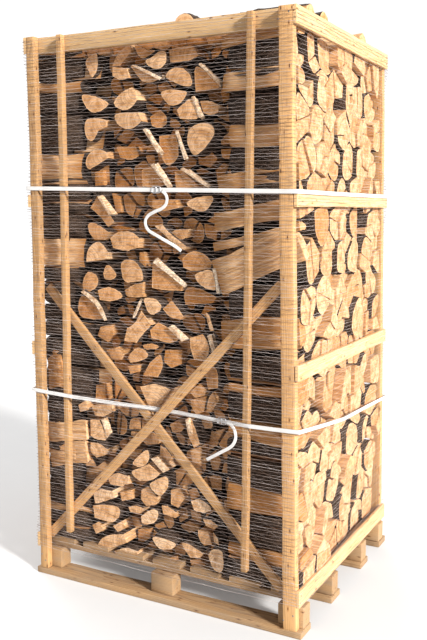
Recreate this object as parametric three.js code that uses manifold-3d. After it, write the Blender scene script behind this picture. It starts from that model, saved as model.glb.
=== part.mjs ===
// Crate of split oak firewood on a timber pallet, wrapped in net and bound by two woven straps.
// Millimetres, +Z up, the front faces -Y and the bright side faces +X.
// The origin is at the middle of the footprint, on the ground.

import * as THREE from 'three';
import { mergeVertices } from 'three/addons/utils/BufferGeometryUtils.js';
import Module from 'manifold-3d';

const wasm = await Module();
wasm.setup();

// Driving dimensions of the crate
const WIDTH = 1200;
const DEPTH = 1030;
const HEIGHT = 2200;
const LEAN = 44;
const GAP = 0.3;

// Pallet
const RUNNER = { overhang: 4, width: 95, thick: 26 };
const BLOCK = { width: 100, depth: 64, top: 106 };
const BLOCK_X = [-550, 0, 550];
const ROW_Y = [-452.7, -153, 205, 452.7];
const STRINGER = { width: 64, top: 126 };
const DECK = { front: 451.5, top: 146, boards: 7, width: 128 };

// Frame timber
const RAIL_THICK = 14;
const POST = { width: 52, narrow: 38, depth: 30 };
const SIDE_RAILS = [
  { name: 'base', low: 118, high: 178 },
  { name: 'lower', low: 942, high: 997 },
  { name: 'upper', low: 1541, high: 1591 },
  { name: 'top', low: 2138, high: HEIGHT },
];
const END_RAIL = { low: 2138, thick: 20 };
const LATH = { width: 24, depth: 25, low: 205 };
const LATH_X = [
  { name: 'left', low: -437, high: -429 },
  { name: 'right', low: 370, high: 383 },
];
const BRACE = { width: 37, thick: 15 };
const BRACE_FALLING = [new THREE.Vector2(-550, 1221), new THREE.Vector2(503, 149)];
const BRACE_RISING = [new THREE.Vector2(-556, 167), new THREE.Vector2(498, 1274)];
const BRACE_SLOT = 2.4;

// Firewood
const LOG_PITCH = 140;
const END_LOG_PITCH = 130;
const COLUMN_INNER = { left: -292, right: 268 };
const COLUMN_Y = { front: -446, rear: 446 };
const CENTRE_END = 450;
const STACK_TOP = 2150;
const LOOSE_LOG = { radius: 50, length: 270 };

// Wrapping
const THREAD = 1.4;
const NET_CLEARANCE = 1.2;
const NET_LOW = 122;
const NET_COURSE = 294.5;
const NET_COURSES = 8;
const STRAP = { width: 16, thick: 1, clearance: 3.6 };
const BUCKLE = { length: 40, width: 26, wire: 3.2 };
const TAIL = { width: 13, thick: 2.4 };

const crate = new THREE.Group();

const finish = (color, roughness, metalness = 0) =>
  new THREE.MeshStandardMaterial({ color, roughness, metalness });

function addPiece(name, geometry, material) {
  const mesh = new THREE.Mesh(geometry, material);
  mesh.name = name;
  crate.add(mesh);
  return mesh;
}

// The right-hand wall leans inwards by LEAN over the full height.
const rightWallX = (z) => WIDTH / 2 - (LEAN * z) / HEIGHT;

function leanWithWall(geometry) {
  const position = geometry.attributes.position;
  for (let i = 0; i < position.count; i += 1) {
    if (position.getX(i) > 0) {
      position.setX(i, position.getX(i) - (LEAN * position.getZ(i)) / HEIGHT);
    }
  }
  geometry.computeVertexNormals();
  return geometry;
}

// A board that fills a box given by its low and high corners.
function board(low, high) {
  const size = high.map((value, axis) => value - low[axis]);
  const middle = high.map((value, axis) => (value + low[axis]) / 2);
  return new THREE.BoxGeometry(...size).translate(...middle);
}

// Closed triangle mesh to a solid and back, for joining boards that are nailed into one frame.
function toSolid(geometry) {
  const bare = geometry.clone();
  bare.deleteAttribute('normal');
  bare.deleteAttribute('uv');
  const merged = mergeVertices(bare, 1e-3);
  return new wasm.Manifold(new wasm.Mesh({
    numProp: 3,
    vertProperties: new Float32Array(merged.attributes.position.array),
    triVerts: new Uint32Array(merged.index.array),
  }));
}

function toGeometry(solid) {
  const mesh = solid.getMesh();
  const geometry = new THREE.BufferGeometry();
  geometry.setAttribute('position', new THREE.BufferAttribute(mesh.vertProperties, 3));
  geometry.setIndex(new THREE.BufferAttribute(mesh.triVerts, 1));
  geometry.computeVertexNormals();
  return geometry;
}

const joined = (geometries) =>
  toGeometry(geometries.map(toSolid).reduce((whole, piece) => whole.add(piece)));

// Pallet: runners on the ground, three blocks a row, stringers and deck boards
function buildPallet() {
  const halfLength = WIDTH / 2 + RUNNER.overhang;
  ROW_Y.forEach((y, row) => {
    const outer = Math.abs(y) > 400 ? Math.sign(y) * (DEPTH / 2) : 0;
    const near = outer ? Math.min(outer, outer - Math.sign(outer) * RUNNER.width) : y - RUNNER.width / 2;
    const runner = board(
      [-halfLength, near, 0],
      [halfLength, near + RUNNER.width, RUNNER.thick],
    );
    addPiece(`pallet_runner_${row + 1}`, runner, finish(0xc9a473, 0.85));
    BLOCK_X.forEach((x, column) => {
      const block = board(
        [x - BLOCK.width / 2, y - BLOCK.depth / 2, RUNNER.thick + GAP],
        [x + BLOCK.width / 2, y + BLOCK.depth / 2, BLOCK.top],
      );
      addPiece(`pallet_block_${row + 1}_${column + 1}`, block, finish(0xb88d5c, 0.88));
    });
  });
  addPiece('pallet_deck', buildDeck(), finish(0xb08556, 0.86));
}

function buildDeck() {
  const inside = WIDTH / 2 - RAIL_THICK - 4;
  const pieces = ROW_Y.map((y) => {
    const reach = DECK.front - STRINGER.width / 2;
    const middle = THREE.MathUtils.clamp(y, -reach, reach);
    return board(
      [-inside, middle - STRINGER.width / 2, BLOCK.top + GAP],
      [inside, middle + STRINGER.width / 2, STRINGER.top],
    );
  });
  const step = (2 * inside - DECK.width) / (DECK.boards - 1);
  for (let i = 0; i < DECK.boards; i += 1) {
    const x = -inside + i * step;
    pieces.push(board([x, -DECK.front, STRINGER.top - 2], [x + DECK.width, DECK.front, DECK.top]));
  }
  return joined(pieces);
}

// Corner posts stand in front of and behind the pallet's blocks.
function buildPosts() {
  const low = RUNNER.thick + GAP;
  const inner = WIDTH / 2 - RAIL_THICK - GAP;
  for (const [end, side] of [['front', -1], ['rear', 1]]) {
    const faces = [side * (DEPTH / 2), side * (DEPTH / 2 - POST.depth)].sort((a, b) => a - b);
    const right = board([inner - POST.width, faces[0], low], [inner, faces[1], HEIGHT]);
    addPiece(`post_${end}_right`, leanWithWall(right), finish(0xd2a46c, 0.8));
    const left = board([-inner, faces[0], low], [-inner + POST.narrow, faces[1], HEIGHT]);
    addPiece(`post_${end}_left`, left, finish(0xc79b66, 0.8));
  }
}

// Thin side rails are nailed to the outside of the posts, four on each side.
function buildSideRails() {
  const outer = WIDTH / 2;
  for (const { name, low, high } of SIDE_RAILS) {
    const right = board([outer - RAIL_THICK, -DEPTH / 2, low], [outer, DEPTH / 2, high]);
    addPiece(`side_rail_right_${name}`, leanWithWall(right), finish(0xe0c39a, 0.82));
    const left = board([-outer, -DEPTH / 2, low], [-outer + RAIL_THICK, DEPTH / 2, high]);
    addPiece(`side_rail_left_${name}`, left, finish(0xcfae82, 0.82));
  }
}

// Front and rear: a top rail behind the posts, two upright laths and two crossed braces
function buildEnd(end, side) {
  const alongY = (near, far) => [side * near, side * far].sort((a, b) => a - b);
  const inner = WIDTH / 2 - RAIL_THICK - GAP;

  const [railLow, railHigh] = alongY(
    DEPTH / 2 - POST.depth - GAP,
    DEPTH / 2 - POST.depth - GAP - END_RAIL.thick,
  );
  const rail = board([-inner, railLow, END_RAIL.low], [inner, railHigh, HEIGHT]);
  addPiece(`top_rail_${end}`, leanWithWall(rail), finish(0xd9b98c, 0.82));

  const [lathLow, lathHigh] = alongY(DEPTH / 2 - 4, DEPTH / 2 - 4 - LATH.depth);
  for (const { name, low, high } of LATH_X) {
    const lath = board(
      [-LATH.width / 2, lathLow, LATH.low],
      [LATH.width / 2, lathHigh, HEIGHT - 3],
    );
    const position = lath.attributes.position;
    for (let i = 0; i < position.count; i += 1) {
      const share = (position.getZ(i) - LATH.low) / (HEIGHT - LATH.low);
      position.setX(i, position.getX(i) + THREE.MathUtils.lerp(low, high, share));
    }
    addPiece(`lath_${end}_${name}`, lath, finish(0xdcb37a, 0.8));
  }

  const outerBrace = DEPTH / 2 - POST.depth - GAP - BRACE.thick / 2;
  const innerBrace = outerBrace - BRACE.thick - BRACE_SLOT;
  addBrace(`brace_${end}_rising`, BRACE_RISING, side * outerBrace);
  addBrace(`brace_${end}_falling`, BRACE_FALLING, side * innerBrace);
}

function addBrace(name, [from, to], y) {
  const run = new THREE.Vector2().subVectors(to, from);
  const brace = new THREE.BoxGeometry(run.length(), BRACE.thick, BRACE.width);
  const mesh = addPiece(name, brace, finish(0xd0a065, 0.82));
  mesh.position.set((from.x + to.x) / 2, y, (from.y + to.y) / 2);
  mesh.rotation.y = -run.angle();
}

// Turns a shape drawn in XY and drawn out along Z so that it stands in YZ and runs along X
const ENDS_ALONG_X = new THREE.Matrix4().makeBasis(
  new THREE.Vector3(0, 1, 0),
  new THREE.Vector3(0, 0, 1),
  new THREE.Vector3(1, 0, 0),
);

// Repeatable numbers between 0 and 1
function randomFrom(seed) {
  let state = seed;
  return () => {
    state = (state * 16807) % 2147483647;
    return state / 2147483647;
  };
}

// The part of a convex outline that lies nearer to one centre than to another
function clipByBisector(outline, centre, other) {
  const normal = new THREE.Vector2().subVectors(other, centre);
  const limit = normal.dot(new THREE.Vector2().addVectors(centre, other).multiplyScalar(0.5));
  const kept = [];
  outline.forEach((point, i) => {
    const next = outline[(i + 1) % outline.length];
    const here = normal.dot(point) - limit;
    const there = normal.dot(next) - limit;
    if (here <= 0) kept.push(point.clone());
    if (here * there < 0) kept.push(point.clone().lerp(next, here / (here - there)));
  });
  return kept;
}

// Log cross-sections: rows of shaken centres, each with the outline nearest to it
function logSections(width, height, pitch, seed) {
  const random = randomFrom(seed);
  const rows = Math.round(height / (pitch * 0.87));
  const columns = Math.round(width / pitch);
  const centres = [];
  for (let row = 0; row < rows; row += 1) {
    const count = columns + (row % 2 ? 1 : 0);
    for (let column = 0; column < count; column += 1) {
      const u = (column + (row % 2 ? 0 : 0.5)) * (width / columns) + (random() - 0.5) * pitch * 0.5;
      const v = (row + 0.5) * (height / rows) + (random() - 0.5) * pitch * 0.42;
      centres.push(new THREE.Vector2(
        THREE.MathUtils.clamp(u, pitch * 0.2, width - pitch * 0.2),
        THREE.MathUtils.clamp(v, pitch * 0.2, height - pitch * 0.2),
      ));
    }
  }
  const frame = [[0, 0], [width, 0], [width, height], [0, height]].map((p) => new THREE.Vector2(...p));
  return centres.map((centre) => {
    const near = centres.filter((other) => other !== centre && other.distanceTo(centre) < pitch * 3);
    const outline = near.reduce((cut, other) => clipByBisector(cut, centre, other), frame);
    return { centre, outline, ledge: random() };
  });
}

// A stack of logs with their ends on show. It is drawn in its own plane: u across, v up, w outwards.
// Every end stands out from the grooves round it, and the stack's sides follow the logs' backs.
function logStack({ width, height, length, pitch, seed, relief, notch = 22 }) {
  const sections = logSections(width, height, pitch, seed);
  const positions = [];
  const triangle = (...corners) => corners.forEach((corner) => positions.push(...corner));
  const onFrame = ({ x, y }) => ({
    u: x < 1e-6 ? 1 : Number(x > width - 1e-6) * -1,
    v: y < 1e-6 ? 1 : Number(y > height - 1e-6) * -1,
  });
  // Joints between logs on the stack's outline are pressed inwards.
  const pressed = (point) => {
    const side = onFrame(point);
    const corner = side.u && side.v;
    const depth = corner ? notch * 0.35 : notch;
    return new THREE.Vector2(point.x + side.u * depth, point.y + side.v * depth);
  };

  sections.forEach(({ outline, ledge }) => {
    const ring = [];
    outline.forEach((point, i) => {
      const next = outline[(i + 1) % outline.length];
      ring.push(pressed(point));
      const here = onFrame(point);
      const there = onFrame(next);
      const sameSide = (here.u && here.u === there.u) || (here.v && here.v === there.v);
      if (!sameSide) return;
      const ends = [0.24, 0.76].map((share) => point.clone().lerp(next, share));
      ring.push(...ends);
      const wall = [ring[ring.length - 3], ...ends, pressed(next)];
      for (let k = 0; k < 3; k += 1) {
        const [a, b] = [wall[k], wall[k + 1]];
        triangle([a.x, a.y, 0], [b.x, b.y, -length], [b.x, b.y, 0]);
        triangle([a.x, a.y, 0], [a.x, a.y, -length], [b.x, b.y, -length]);
        triangle([a.x, a.y, -length], [width / 2, height / 2, -length], [b.x, b.y, -length]);
      }
    });
    const middle = ring.reduce((sum, p) => sum.add(p), new THREE.Vector2()).divideScalar(ring.length);
    const w = relief.low + (relief.high - relief.low) * ledge;
    const cap = ring.map((p) => p.clone().lerp(middle, 0.16));
    ring.forEach((point, i) => {
      const j = (i + 1) % ring.length;
      triangle([point.x, point.y, 0], [ring[j].x, ring[j].y, 0], [cap[j].x, cap[j].y, w]);
      triangle([point.x, point.y, 0], [cap[j].x, cap[j].y, w], [cap[i].x, cap[i].y, w]);
      if (i > 0 && i < ring.length - 1) {
        triangle([cap[0].x, cap[0].y, w], [cap[i].x, cap[i].y, w], [cap[j].x, cap[j].y, w]);
      }
    });
  });
  const geometry = new THREE.BufferGeometry();
  geometry.setAttribute('position', new THREE.Float32BufferAttribute(positions, 3));
  const closed = mergeVertices(geometry, 1e-3);
  closed.computeVertexNormals();
  return closed;
}

// Columns of logs lie along X behind each side wall, with their ends outwards.
function buildSideColumns() {
  const inner = WIDTH / 2 - RAIL_THICK - 0.6;
  const width = COLUMN_Y.rear - COLUMN_Y.front;
  const low = DECK.top + GAP;
  const height = STACK_TOP - low;
  const relief = { low: 12, high: 44 };
  const shape = { width, height, pitch: LOG_PITCH, relief };

  const right = logStack({ ...shape, length: inner - COLUMN_INNER.right - relief.high, seed: 7 });
  right.applyMatrix4(ENDS_ALONG_X);
  right.translate(inner - relief.high, COLUMN_Y.front, low);
  squeezeAgainstWall(right, inner);
  addPiece('log_column_right', right, finish(0xe7c592, 0.9));

  const left = logStack({ ...shape, length: inner + COLUMN_INNER.left - relief.high, seed: 23 });
  left.applyMatrix4(ENDS_ALONG_X).rotateZ(Math.PI);
  left.translate(-inner + relief.high, COLUMN_Y.rear, low);
  addPiece('log_column_left', left, finish(0xc99a63, 0.9));
}

// The right column follows the leaning wall, while its inner face stays upright.
function squeezeAgainstWall(geometry, outer) {
  const position = geometry.attributes.position;
  for (let i = 0; i < position.count; i += 1) {
    const share = (position.getX(i) - COLUMN_INNER.right) / (outer - COLUMN_INNER.right);
    position.setX(i, position.getX(i) - (share * LEAN * position.getZ(i)) / HEIGHT);
  }
  geometry.computeVertexNormals();
}

// Three rows of logs lie along Y between the columns, one behind the other.
function buildCentreRows() {
  const low = DECK.top + GAP;
  const height = STACK_TOP - low;
  const width = COLUMN_INNER.right - COLUMN_INNER.left - 2 * GAP;
  const rowLength = (2 * CENTRE_END) / 3;
  const relief = { low: 20, high: 100 };
  const shape = { width, height, pitch: END_LOG_PITCH, relief, length: rowLength - relief.high - GAP };

  const front = logStack({ ...shape, seed: 101 });
  front.rotateX(Math.PI / 2);
  front.translate(COLUMN_INNER.left + GAP, -CENTRE_END + relief.high, low);
  addPiece('log_row_front', front, finish(0xb9854c, 0.9));

  const middle = board(
    [COLUMN_INNER.left + GAP, -rowLength / 2, low],
    [COLUMN_INNER.right - GAP, rowLength / 2, STACK_TOP - 24],
  );
  addPiece('log_row_middle', middle, finish(0xa87843, 0.9));

  const rear = logStack({ ...shape, seed: 211 });
  rear.rotateX(Math.PI / 2);
  rear.rotateZ(Math.PI);
  rear.translate(COLUMN_INNER.right - GAP, CENTRE_END - relief.high, low);
  addPiece('log_row_rear', rear, finish(0xb9854c, 0.9));
}

// Loose split logs lie on top and reach above the rails.
function buildLooseLogs() {
  const places = [
    { name: 'front', x: 84, y: -300, turn: 90 },
    { name: 'front_right', x: 404, y: -345, turn: 0 },
    { name: 'right_middle', x: 405, y: -215, turn: 0 },
    { name: 'right_rear', x: 405, y: 225, turn: 0 },
    { name: 'rear_left', x: -430, y: 180, turn: 0 },
    { name: 'rear', x: -110, y: 260, turn: 90 },
  ];
  for (const { name, x, y, turn } of places) {
    const outline = new THREE.Shape();
    outline.absarc(0, 0, LOOSE_LOG.radius, Math.PI * 0.08, Math.PI * 0.92, false);
    outline.lineTo(-LOOSE_LOG.radius * 0.55, -LOOSE_LOG.radius * 0.9);
    outline.lineTo(LOOSE_LOG.radius * 0.5, -LOOSE_LOG.radius * 0.9);
    const log = new THREE.ExtrudeGeometry(outline, {
      depth: LOOSE_LOG.length,
      bevelEnabled: false,
      curveSegments: 8,
    });
    log.translate(0, LOOSE_LOG.radius * 0.9, -LOOSE_LOG.length / 2);
    log.applyMatrix4(ENDS_ALONG_X);
    const mesh = addPiece(`loose_log_${name}`, log, finish(0xc08f58, 0.9));
    mesh.rotation.z = THREE.MathUtils.degToRad(turn);
    mesh.position.set(x, y, STACK_TOP + GAP);
  }
}

// The wrapping net: level courses of thread, tied together by upright threads
function buildNet() {
  const outer = NET_CLEARANCE + THREAD;
  const pieces = [];
  for (let course = 0; course < NET_COURSES; course += 1) {
    const z = NET_LOW + course * NET_COURSE;
    const half = [WIDTH / 2 + outer, DEPTH / 2 + outer];
    const ring = new THREE.Shape([[-1, -1], [1, -1], [1, 1], [-1, 1]].map(([u, v]) =>
      new THREE.Vector2(u * half[0], v * half[1])));
    ring.holes.push(new THREE.Path([[-1, -1], [-1, 1], [1, 1], [1, -1]].map(([u, v]) =>
      new THREE.Vector2(u * (half[0] - THREAD), v * (half[1] - THREAD)))));
    const loop = new THREE.ExtrudeGeometry(ring, { depth: THREAD, bevelEnabled: false });
    pieces.push(loop.translate(0, 0, z));
  }
  const top = NET_LOW + (NET_COURSES - 1) * NET_COURSE + THREAD;
  const slim = THREAD / 5;
  const upright = (x, y) => board(
    [x + slim, y + slim, NET_LOW + slim],
    [x + THREAD - slim, y + THREAD - slim, top - slim],
  );
  const right = WIDTH / 2 + NET_CLEARANCE;
  const rear = DEPTH / 2 + NET_CLEARANCE;
  for (const x of [-right - THREAD, -60, right]) {
    for (const y of [-rear - THREAD, rear]) pieces.push(upright(x, y));
  }
  addPiece('wrap_net', leanWithWall(joined(pieces)), finish(0xe8e6e0, 0.7));
}

// A flat strap bent round the crate: a closed band through the given points
function strapBand(points) {
  const count = points.length;
  const rings = points.map((point, i) => {
    const before = points[(i + count - 1) % count];
    const after = points[(i + 1) % count];
    const inward = new THREE.Vector2(point.x - before.x, point.y - before.y).normalize();
    const onward = new THREE.Vector2(after.x - point.x, after.y - point.y).normalize();
    const bisector = new THREE.Vector2(inward.y + onward.y, -inward.x - onward.x).normalize();
    const spread = STRAP.thick / 2 / bisector.dot(new THREE.Vector2(inward.y, -inward.x));
    const corner = (out, up) => [
      point.x + bisector.x * spread * out,
      point.y + bisector.y * spread * out,
      point.z + (up * STRAP.width) / 2,
    ];
    return [corner(1, -1), corner(1, 1), corner(-1, 1), corner(-1, -1)];
  });
  const positions = [];
  rings.forEach((ring, i) => {
    const next = rings[(i + 1) % count];
    for (let k = 0; k < 4; k += 1) {
      const m = (k + 1) % 4;
      positions.push(...ring[k], ...next[k], ...next[m], ...ring[k], ...next[m], ...ring[m]);
    }
  });
  const geometry = new THREE.BufferGeometry();
  geometry.setAttribute('position', new THREE.Float32BufferAttribute(positions, 3));
  geometry.computeVertexNormals();
  return geometry;
}

const STRAP_LEFT = -WIDTH / 2 - STRAP.clearance;
const STRAP_FRONT = -DEPTH / 2 - STRAP.clearance;
const strapRight = (z) => rightWallX(z) + STRAP.clearance;
const bend = (x, y, z) => new THREE.Vector3(x, y, z);

// A wire buckle: a flat frame with a middle bar
function buckleFrame() {
  const [x, z] = [BUCKLE.length / 2, BUCKLE.width / 2];
  const wire = BUCKLE.wire;
  const plate = toSolid(board([-x, -wire, -z], [x, 0, z]));
  const slots = [[wire - x, -wire / 2], [wire / 2, x - wire]];
  const cut = slots.map(([from, to]) => toSolid(board([from, -2 * wire, wire - z], [to, wire, z - wire])));
  return toGeometry(cut.reduce((frame, slot) => frame.subtract(slot), plate));
}

// A free strap end: a flat eight-sided section led along its route
function strapTail(route) {
  const half = [TAIL.thick / 2, TAIL.width / 2];
  const section = new THREE.Shape([
    [1, -0.7], [1, 0.7], [0.5, 1], [-0.5, 1], [-1, 0.7], [-1, -0.7], [-0.5, -1], [0.5, -1],
  ].map(([u, v]) => new THREE.Vector2(u * half[0], v * half[1])));
  const curve = new THREE.CatmullRomCurve3(route);
  return new THREE.ExtrudeGeometry(section, {
    extrudePath: curve,
    steps: Math.round(curve.getLength() / (TAIL.width * 0.9)),
    bevelEnabled: false,
  });
}

// The upper strap runs level above the upper side rails.
function buildUpperStrap() {
  const [left, front, right] = [1617, 1593, 1589];
  addPiece('strap_upper', strapBand([
    bend(STRAP_LEFT, STRAP_FRONT, left),
    bend(strapRight(front), STRAP_FRONT, front),
    bend(strapRight(right), -STRAP_FRONT, right),
    bend(STRAP_LEFT, -STRAP_FRONT, left - 8),
  ]), finish(0xf2f0ec, 0.6));

  const face = STRAP_FRONT - STRAP.thick / 2 - GAP;
  const buckle = addPiece('buckle_upper', buckleFrame(), finish(0xb9bcc0, 0.35, 1));
  buckle.position.set(12, face, 1604.5);

  const y = face - TAIL.thick / 2 - 0.2;
  addPiece('strap_tail_upper', strapTail([
    bend(37, y, 1600),
    bend(49, y, 1592),
    bend(57, y, 1580),
    bend(59, y - 1, 1566),
    bend(55, y - 2, 1552),
    bend(45, y - 3, 1541),
    bend(31, y - 3, 1533),
    bend(14, y - 4, 1527),
    bend(-3, y - 4, 1520),
    bend(-19, y - 3, 1512),
    bend(-31, y - 3, 1499),
    bend(-35, y - 2, 1484),
    bend(-31, y - 2, 1469),
    bend(-20, y - 3, 1456),
    bend(-2, y - 4, 1446),
    bend(20, y - 5, 1436),
    bend(45, y - 5, 1424),
    bend(70, y - 4, 1412),
    bend(95, y - 2, 1399),
    bend(118, y - 1, 1383),
  ]), finish(0xf4f2ee, 0.65));
}

// The lower strap dips behind the rising front brace, between the two braces.
function buildLowerStrap() {
  const slotY = -(DEPTH / 2 - POST.depth - GAP - BRACE.thick - BRACE_SLOT / 2);
  addPiece('strap_lower', strapBand([
    bend(STRAP_LEFT, STRAP_FRONT, 796),
    bend(-405, STRAP_FRONT, 786),
    bend(-34, slotY, 768),
    bend(68, slotY, 765),
    bend(398, STRAP_FRONT, 763),
    bend(strapRight(765), STRAP_FRONT, 765),
    bend(strapRight(710), -60, 710),
    bend(strapRight(685), -STRAP_FRONT, 685),
    bend(STRAP_LEFT, -STRAP_FRONT, 735),
  ]), finish(0xf2f0ec, 0.6));

  const turn = Math.atan2(STRAP_FRONT - slotY, 398 - 68);
  const place = new THREE.Vector3().lerpVectors(
    bend(68, slotY, 765),
    bend(398, STRAP_FRONT, 763),
    0.63,
  );
  const buckle = addPiece('buckle_lower', buckleFrame(), finish(0xb9bcc0, 0.35, 1));
  buckle.position.set(place.x, place.y - 1.2, place.z);
  buckle.rotation.z = turn;

  const start = place.x + (Math.cos(turn) * BUCKLE.length) / 2;
  addPiece('strap_tail_lower', strapTail([
    bend(start + 4, place.y - 11, 764),
    bend(start + 16, place.y - 12, 761),
    bend(start + 28, place.y - 14, 754),
    bend(start + 38, place.y - 16, 743),
    bend(start + 44, place.y - 19, 729),
    bend(start + 46, place.y - 21, 714),
    bend(start + 42, place.y - 22.5, 698),
    bend(start + 33, place.y - 23.5, 684),
    bend(start + 20, place.y - 24, 673),
    bend(start + 4, place.y - 24, 663),
    bend(start - 14, place.y - 23, 652),
    bend(start - 32, place.y - 22, 641),
    bend(start - 50, place.y - 20, 630),
    bend(start - 68, place.y - 18, 619),
    bend(start - 76, place.y - 17, 614),
  ]), finish(0xf4f2ee, 0.65));
}

buildPallet();
buildPosts();
buildSideRails();
buildEnd('front', -1);
buildEnd('rear', 1);
buildSideColumns();
buildCentreRows();
buildLooseLogs();
buildNet();
buildUpperStrap();
buildLowerStrap();

export default crate;
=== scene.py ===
import bpy
import bmesh
import math
import numpy as np
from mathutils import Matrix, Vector


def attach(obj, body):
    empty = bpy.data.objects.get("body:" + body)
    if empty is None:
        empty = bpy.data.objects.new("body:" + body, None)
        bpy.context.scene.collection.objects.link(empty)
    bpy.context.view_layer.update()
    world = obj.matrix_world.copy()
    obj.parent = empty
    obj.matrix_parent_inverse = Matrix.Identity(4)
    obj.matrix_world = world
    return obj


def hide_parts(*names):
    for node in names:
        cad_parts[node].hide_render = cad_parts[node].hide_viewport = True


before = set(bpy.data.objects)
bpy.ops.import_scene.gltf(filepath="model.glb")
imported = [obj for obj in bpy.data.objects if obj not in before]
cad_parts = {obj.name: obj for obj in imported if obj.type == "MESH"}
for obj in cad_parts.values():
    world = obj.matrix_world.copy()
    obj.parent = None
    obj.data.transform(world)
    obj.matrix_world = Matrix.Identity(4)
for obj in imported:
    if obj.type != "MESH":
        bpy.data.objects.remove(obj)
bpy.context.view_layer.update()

# The view
# A phone's view from a standing height, a step to the right of the crate, turned towards
# its left rear corner and tipped down a little.
FRAME_PIXELS = (427, 640)
FOCAL_PIXELS = 829.9
EYE = np.array([1.6531, -3.1293, 1.5335])
TURN = math.radians(28.258)
TIP = math.radians(7.596)
SENSOR = 36.0
forward = np.array([-math.sin(TURN) * math.cos(TIP), math.cos(TURN) * math.cos(TIP), -math.sin(TIP)])
rightward = np.array([math.cos(TURN), math.sin(TURN), 0.0])
upward = np.cross(rightward, forward)

camera = bpy.data.objects.new("view", bpy.data.cameras.new("view"))
bpy.context.scene.collection.objects.link(camera)
camera.location = EYE
camera.rotation_euler = Vector(forward).to_track_quat("-Z", "Y").to_euler()
camera.data.sensor_fit = "VERTICAL"
camera.data.sensor_height = SENSOR
camera.data.lens = FOCAL_PIXELS / FRAME_PIXELS[1] * SENSOR
camera.data.clip_end = 60.0
bpy.context.scene.camera = camera


def on_front_plane(pixels, y):
    """Where lines of sight through pixels (n, 2) meet the upright plane at y: the x and z there."""
    pixels = np.asarray(pixels, float)
    across = (pixels[:, :1] - FRAME_PIXELS[0] / 2) / FOCAL_PIXELS
    down = (pixels[:, 1:2] - FRAME_PIXELS[1] / 2) / FOCAL_PIXELS
    sight = forward + across * rightward - down * upward
    reach = (y - EYE[1]) / sight[:, 1:2]
    return (EYE + sight * reach)[:, [0, 2]]


# Strap ends
# The free ends of the two woven straps: flat polyester cord, about 13 mm wide. They leave the
# wire buckles and lie against the net. The upper one curls twice, the lower one hooks round.
TAIL_WIDTH = 0.013
TAIL_THICK = 0.0016
STRAP_WHITE = (0.74, 0.72, 0.70, 1)
STRAP_GREY = (0.46, 0.44, 0.42, 1)
CORD_PITCH, WEFT_PITCH = 0.0011, 0.0024
TAIL_STEP = 0.004
UPPER_FACE = -0.5207
UPPER_TAIL = [
    (0.037, 0.000, 1.600), (0.049, 0.000, 1.592), (0.057, 0.000, 1.580), (0.059, -0.001, 1.566),
    (0.055, -0.002, 1.552), (0.045, -0.003, 1.541), (0.031, -0.003, 1.533), (0.014, -0.004, 1.527),
    (-0.003, -0.004, 1.520), (-0.019, -0.003, 1.512), (-0.031, -0.003, 1.499), (-0.035, -0.002, 1.484),
    (-0.031, -0.002, 1.469), (-0.020, -0.003, 1.456), (-0.002, -0.004, 1.446), (0.020, -0.005, 1.436),
    (0.045, -0.005, 1.424), (0.070, -0.004, 1.412), (0.095, -0.002, 1.399), (0.118, -0.001, 1.383),
]
LOWER_START = (0.2957, -0.5000)
LOWER_TAIL = [
    (0.004, -0.0110, 0.764), (0.016, -0.0120, 0.761), (0.028, -0.0140, 0.754), (0.038, -0.0160, 0.743),
    (0.044, -0.0190, 0.729), (0.046, -0.0210, 0.714), (0.042, -0.0225, 0.698), (0.033, -0.0235, 0.684),
    (0.020, -0.0240, 0.673), (0.004, -0.0240, 0.663), (-0.014, -0.0230, 0.652), (-0.032, -0.0220, 0.641),
    (-0.050, -0.0200, 0.630), (-0.068, -0.0180, 0.619), (-0.076, -0.0170, 0.614),
]


def place(tree, kind, sockets=(), **settings):
    """A shader node with its settings, and its sockets given as values or as other sockets."""
    made = tree.nodes.new(kind)
    for key, value in settings.items():
        setattr(made, key, value)
    for index, value in sockets:
        if isinstance(value, bpy.types.NodeSocket):
            tree.links.new(value, made.inputs[index])
        else:
            made.inputs[index].default_value = value
    return made


def reckon(tree, operation, *values):
    """One step of arithmetic on shader values."""
    return place(tree, "ShaderNodeMath", list(enumerate(values)), operation=operation).outputs[0]


def speckle(tree, vector, scale, detail=3.0, roughness=0.55):
    """Noise between 0 and 1."""
    made = place(tree, "ShaderNodeTexNoise", [("Vector", vector), ("Scale", scale), ("Detail", detail),
                                              ("Roughness", roughness)])
    return made.outputs["Fac"]


def stretch(tree, vector, scale):
    """A vector with each direction scaled on its own."""
    return place(tree, "ShaderNodeVectorMath", [(0, vector), (1, scale)], operation="MULTIPLY").outputs[0]


def blend_colours(tree, share, first, second, way="MIX"):
    """Two colours mixed, share 0 giving the first."""
    made = place(tree, "ShaderNodeMix", [(0, share), (6, first), (7, second)], data_type="RGBA",
                 blend_type=way)
    return made.outputs[2]


def span(tree, value, low, high, to_low=0.0, to_high=1.0):
    """A value's range carried onto another, held at both ends."""
    sockets = [(0, value), (1, low), (2, high), (3, to_low), (4, to_high)]
    return place(tree, "ShaderNodeMapRange", sockets).outputs[0]


def finish_material(name, shade):
    """A material whose colour, roughness and height come from shade(tree), with set values beside."""
    made = bpy.data.materials.new(name)
    made.use_nodes = True
    tree = made.node_tree
    shader = tree.nodes["Principled BSDF"]
    colour, roughness, height, depth = shade(tree)
    tree.links.new(colour, shader.inputs["Base Color"])
    if isinstance(roughness, bpy.types.NodeSocket):
        tree.links.new(roughness, shader.inputs["Roughness"])
    else:
        shader.inputs["Roughness"].default_value = roughness
    bump = place(tree, "ShaderNodeBump", [("Height", height), ("Strength", 1.0), ("Distance", depth)])
    tree.links.new(bump.outputs[0], shader.inputs["Normal"])
    return made


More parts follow.
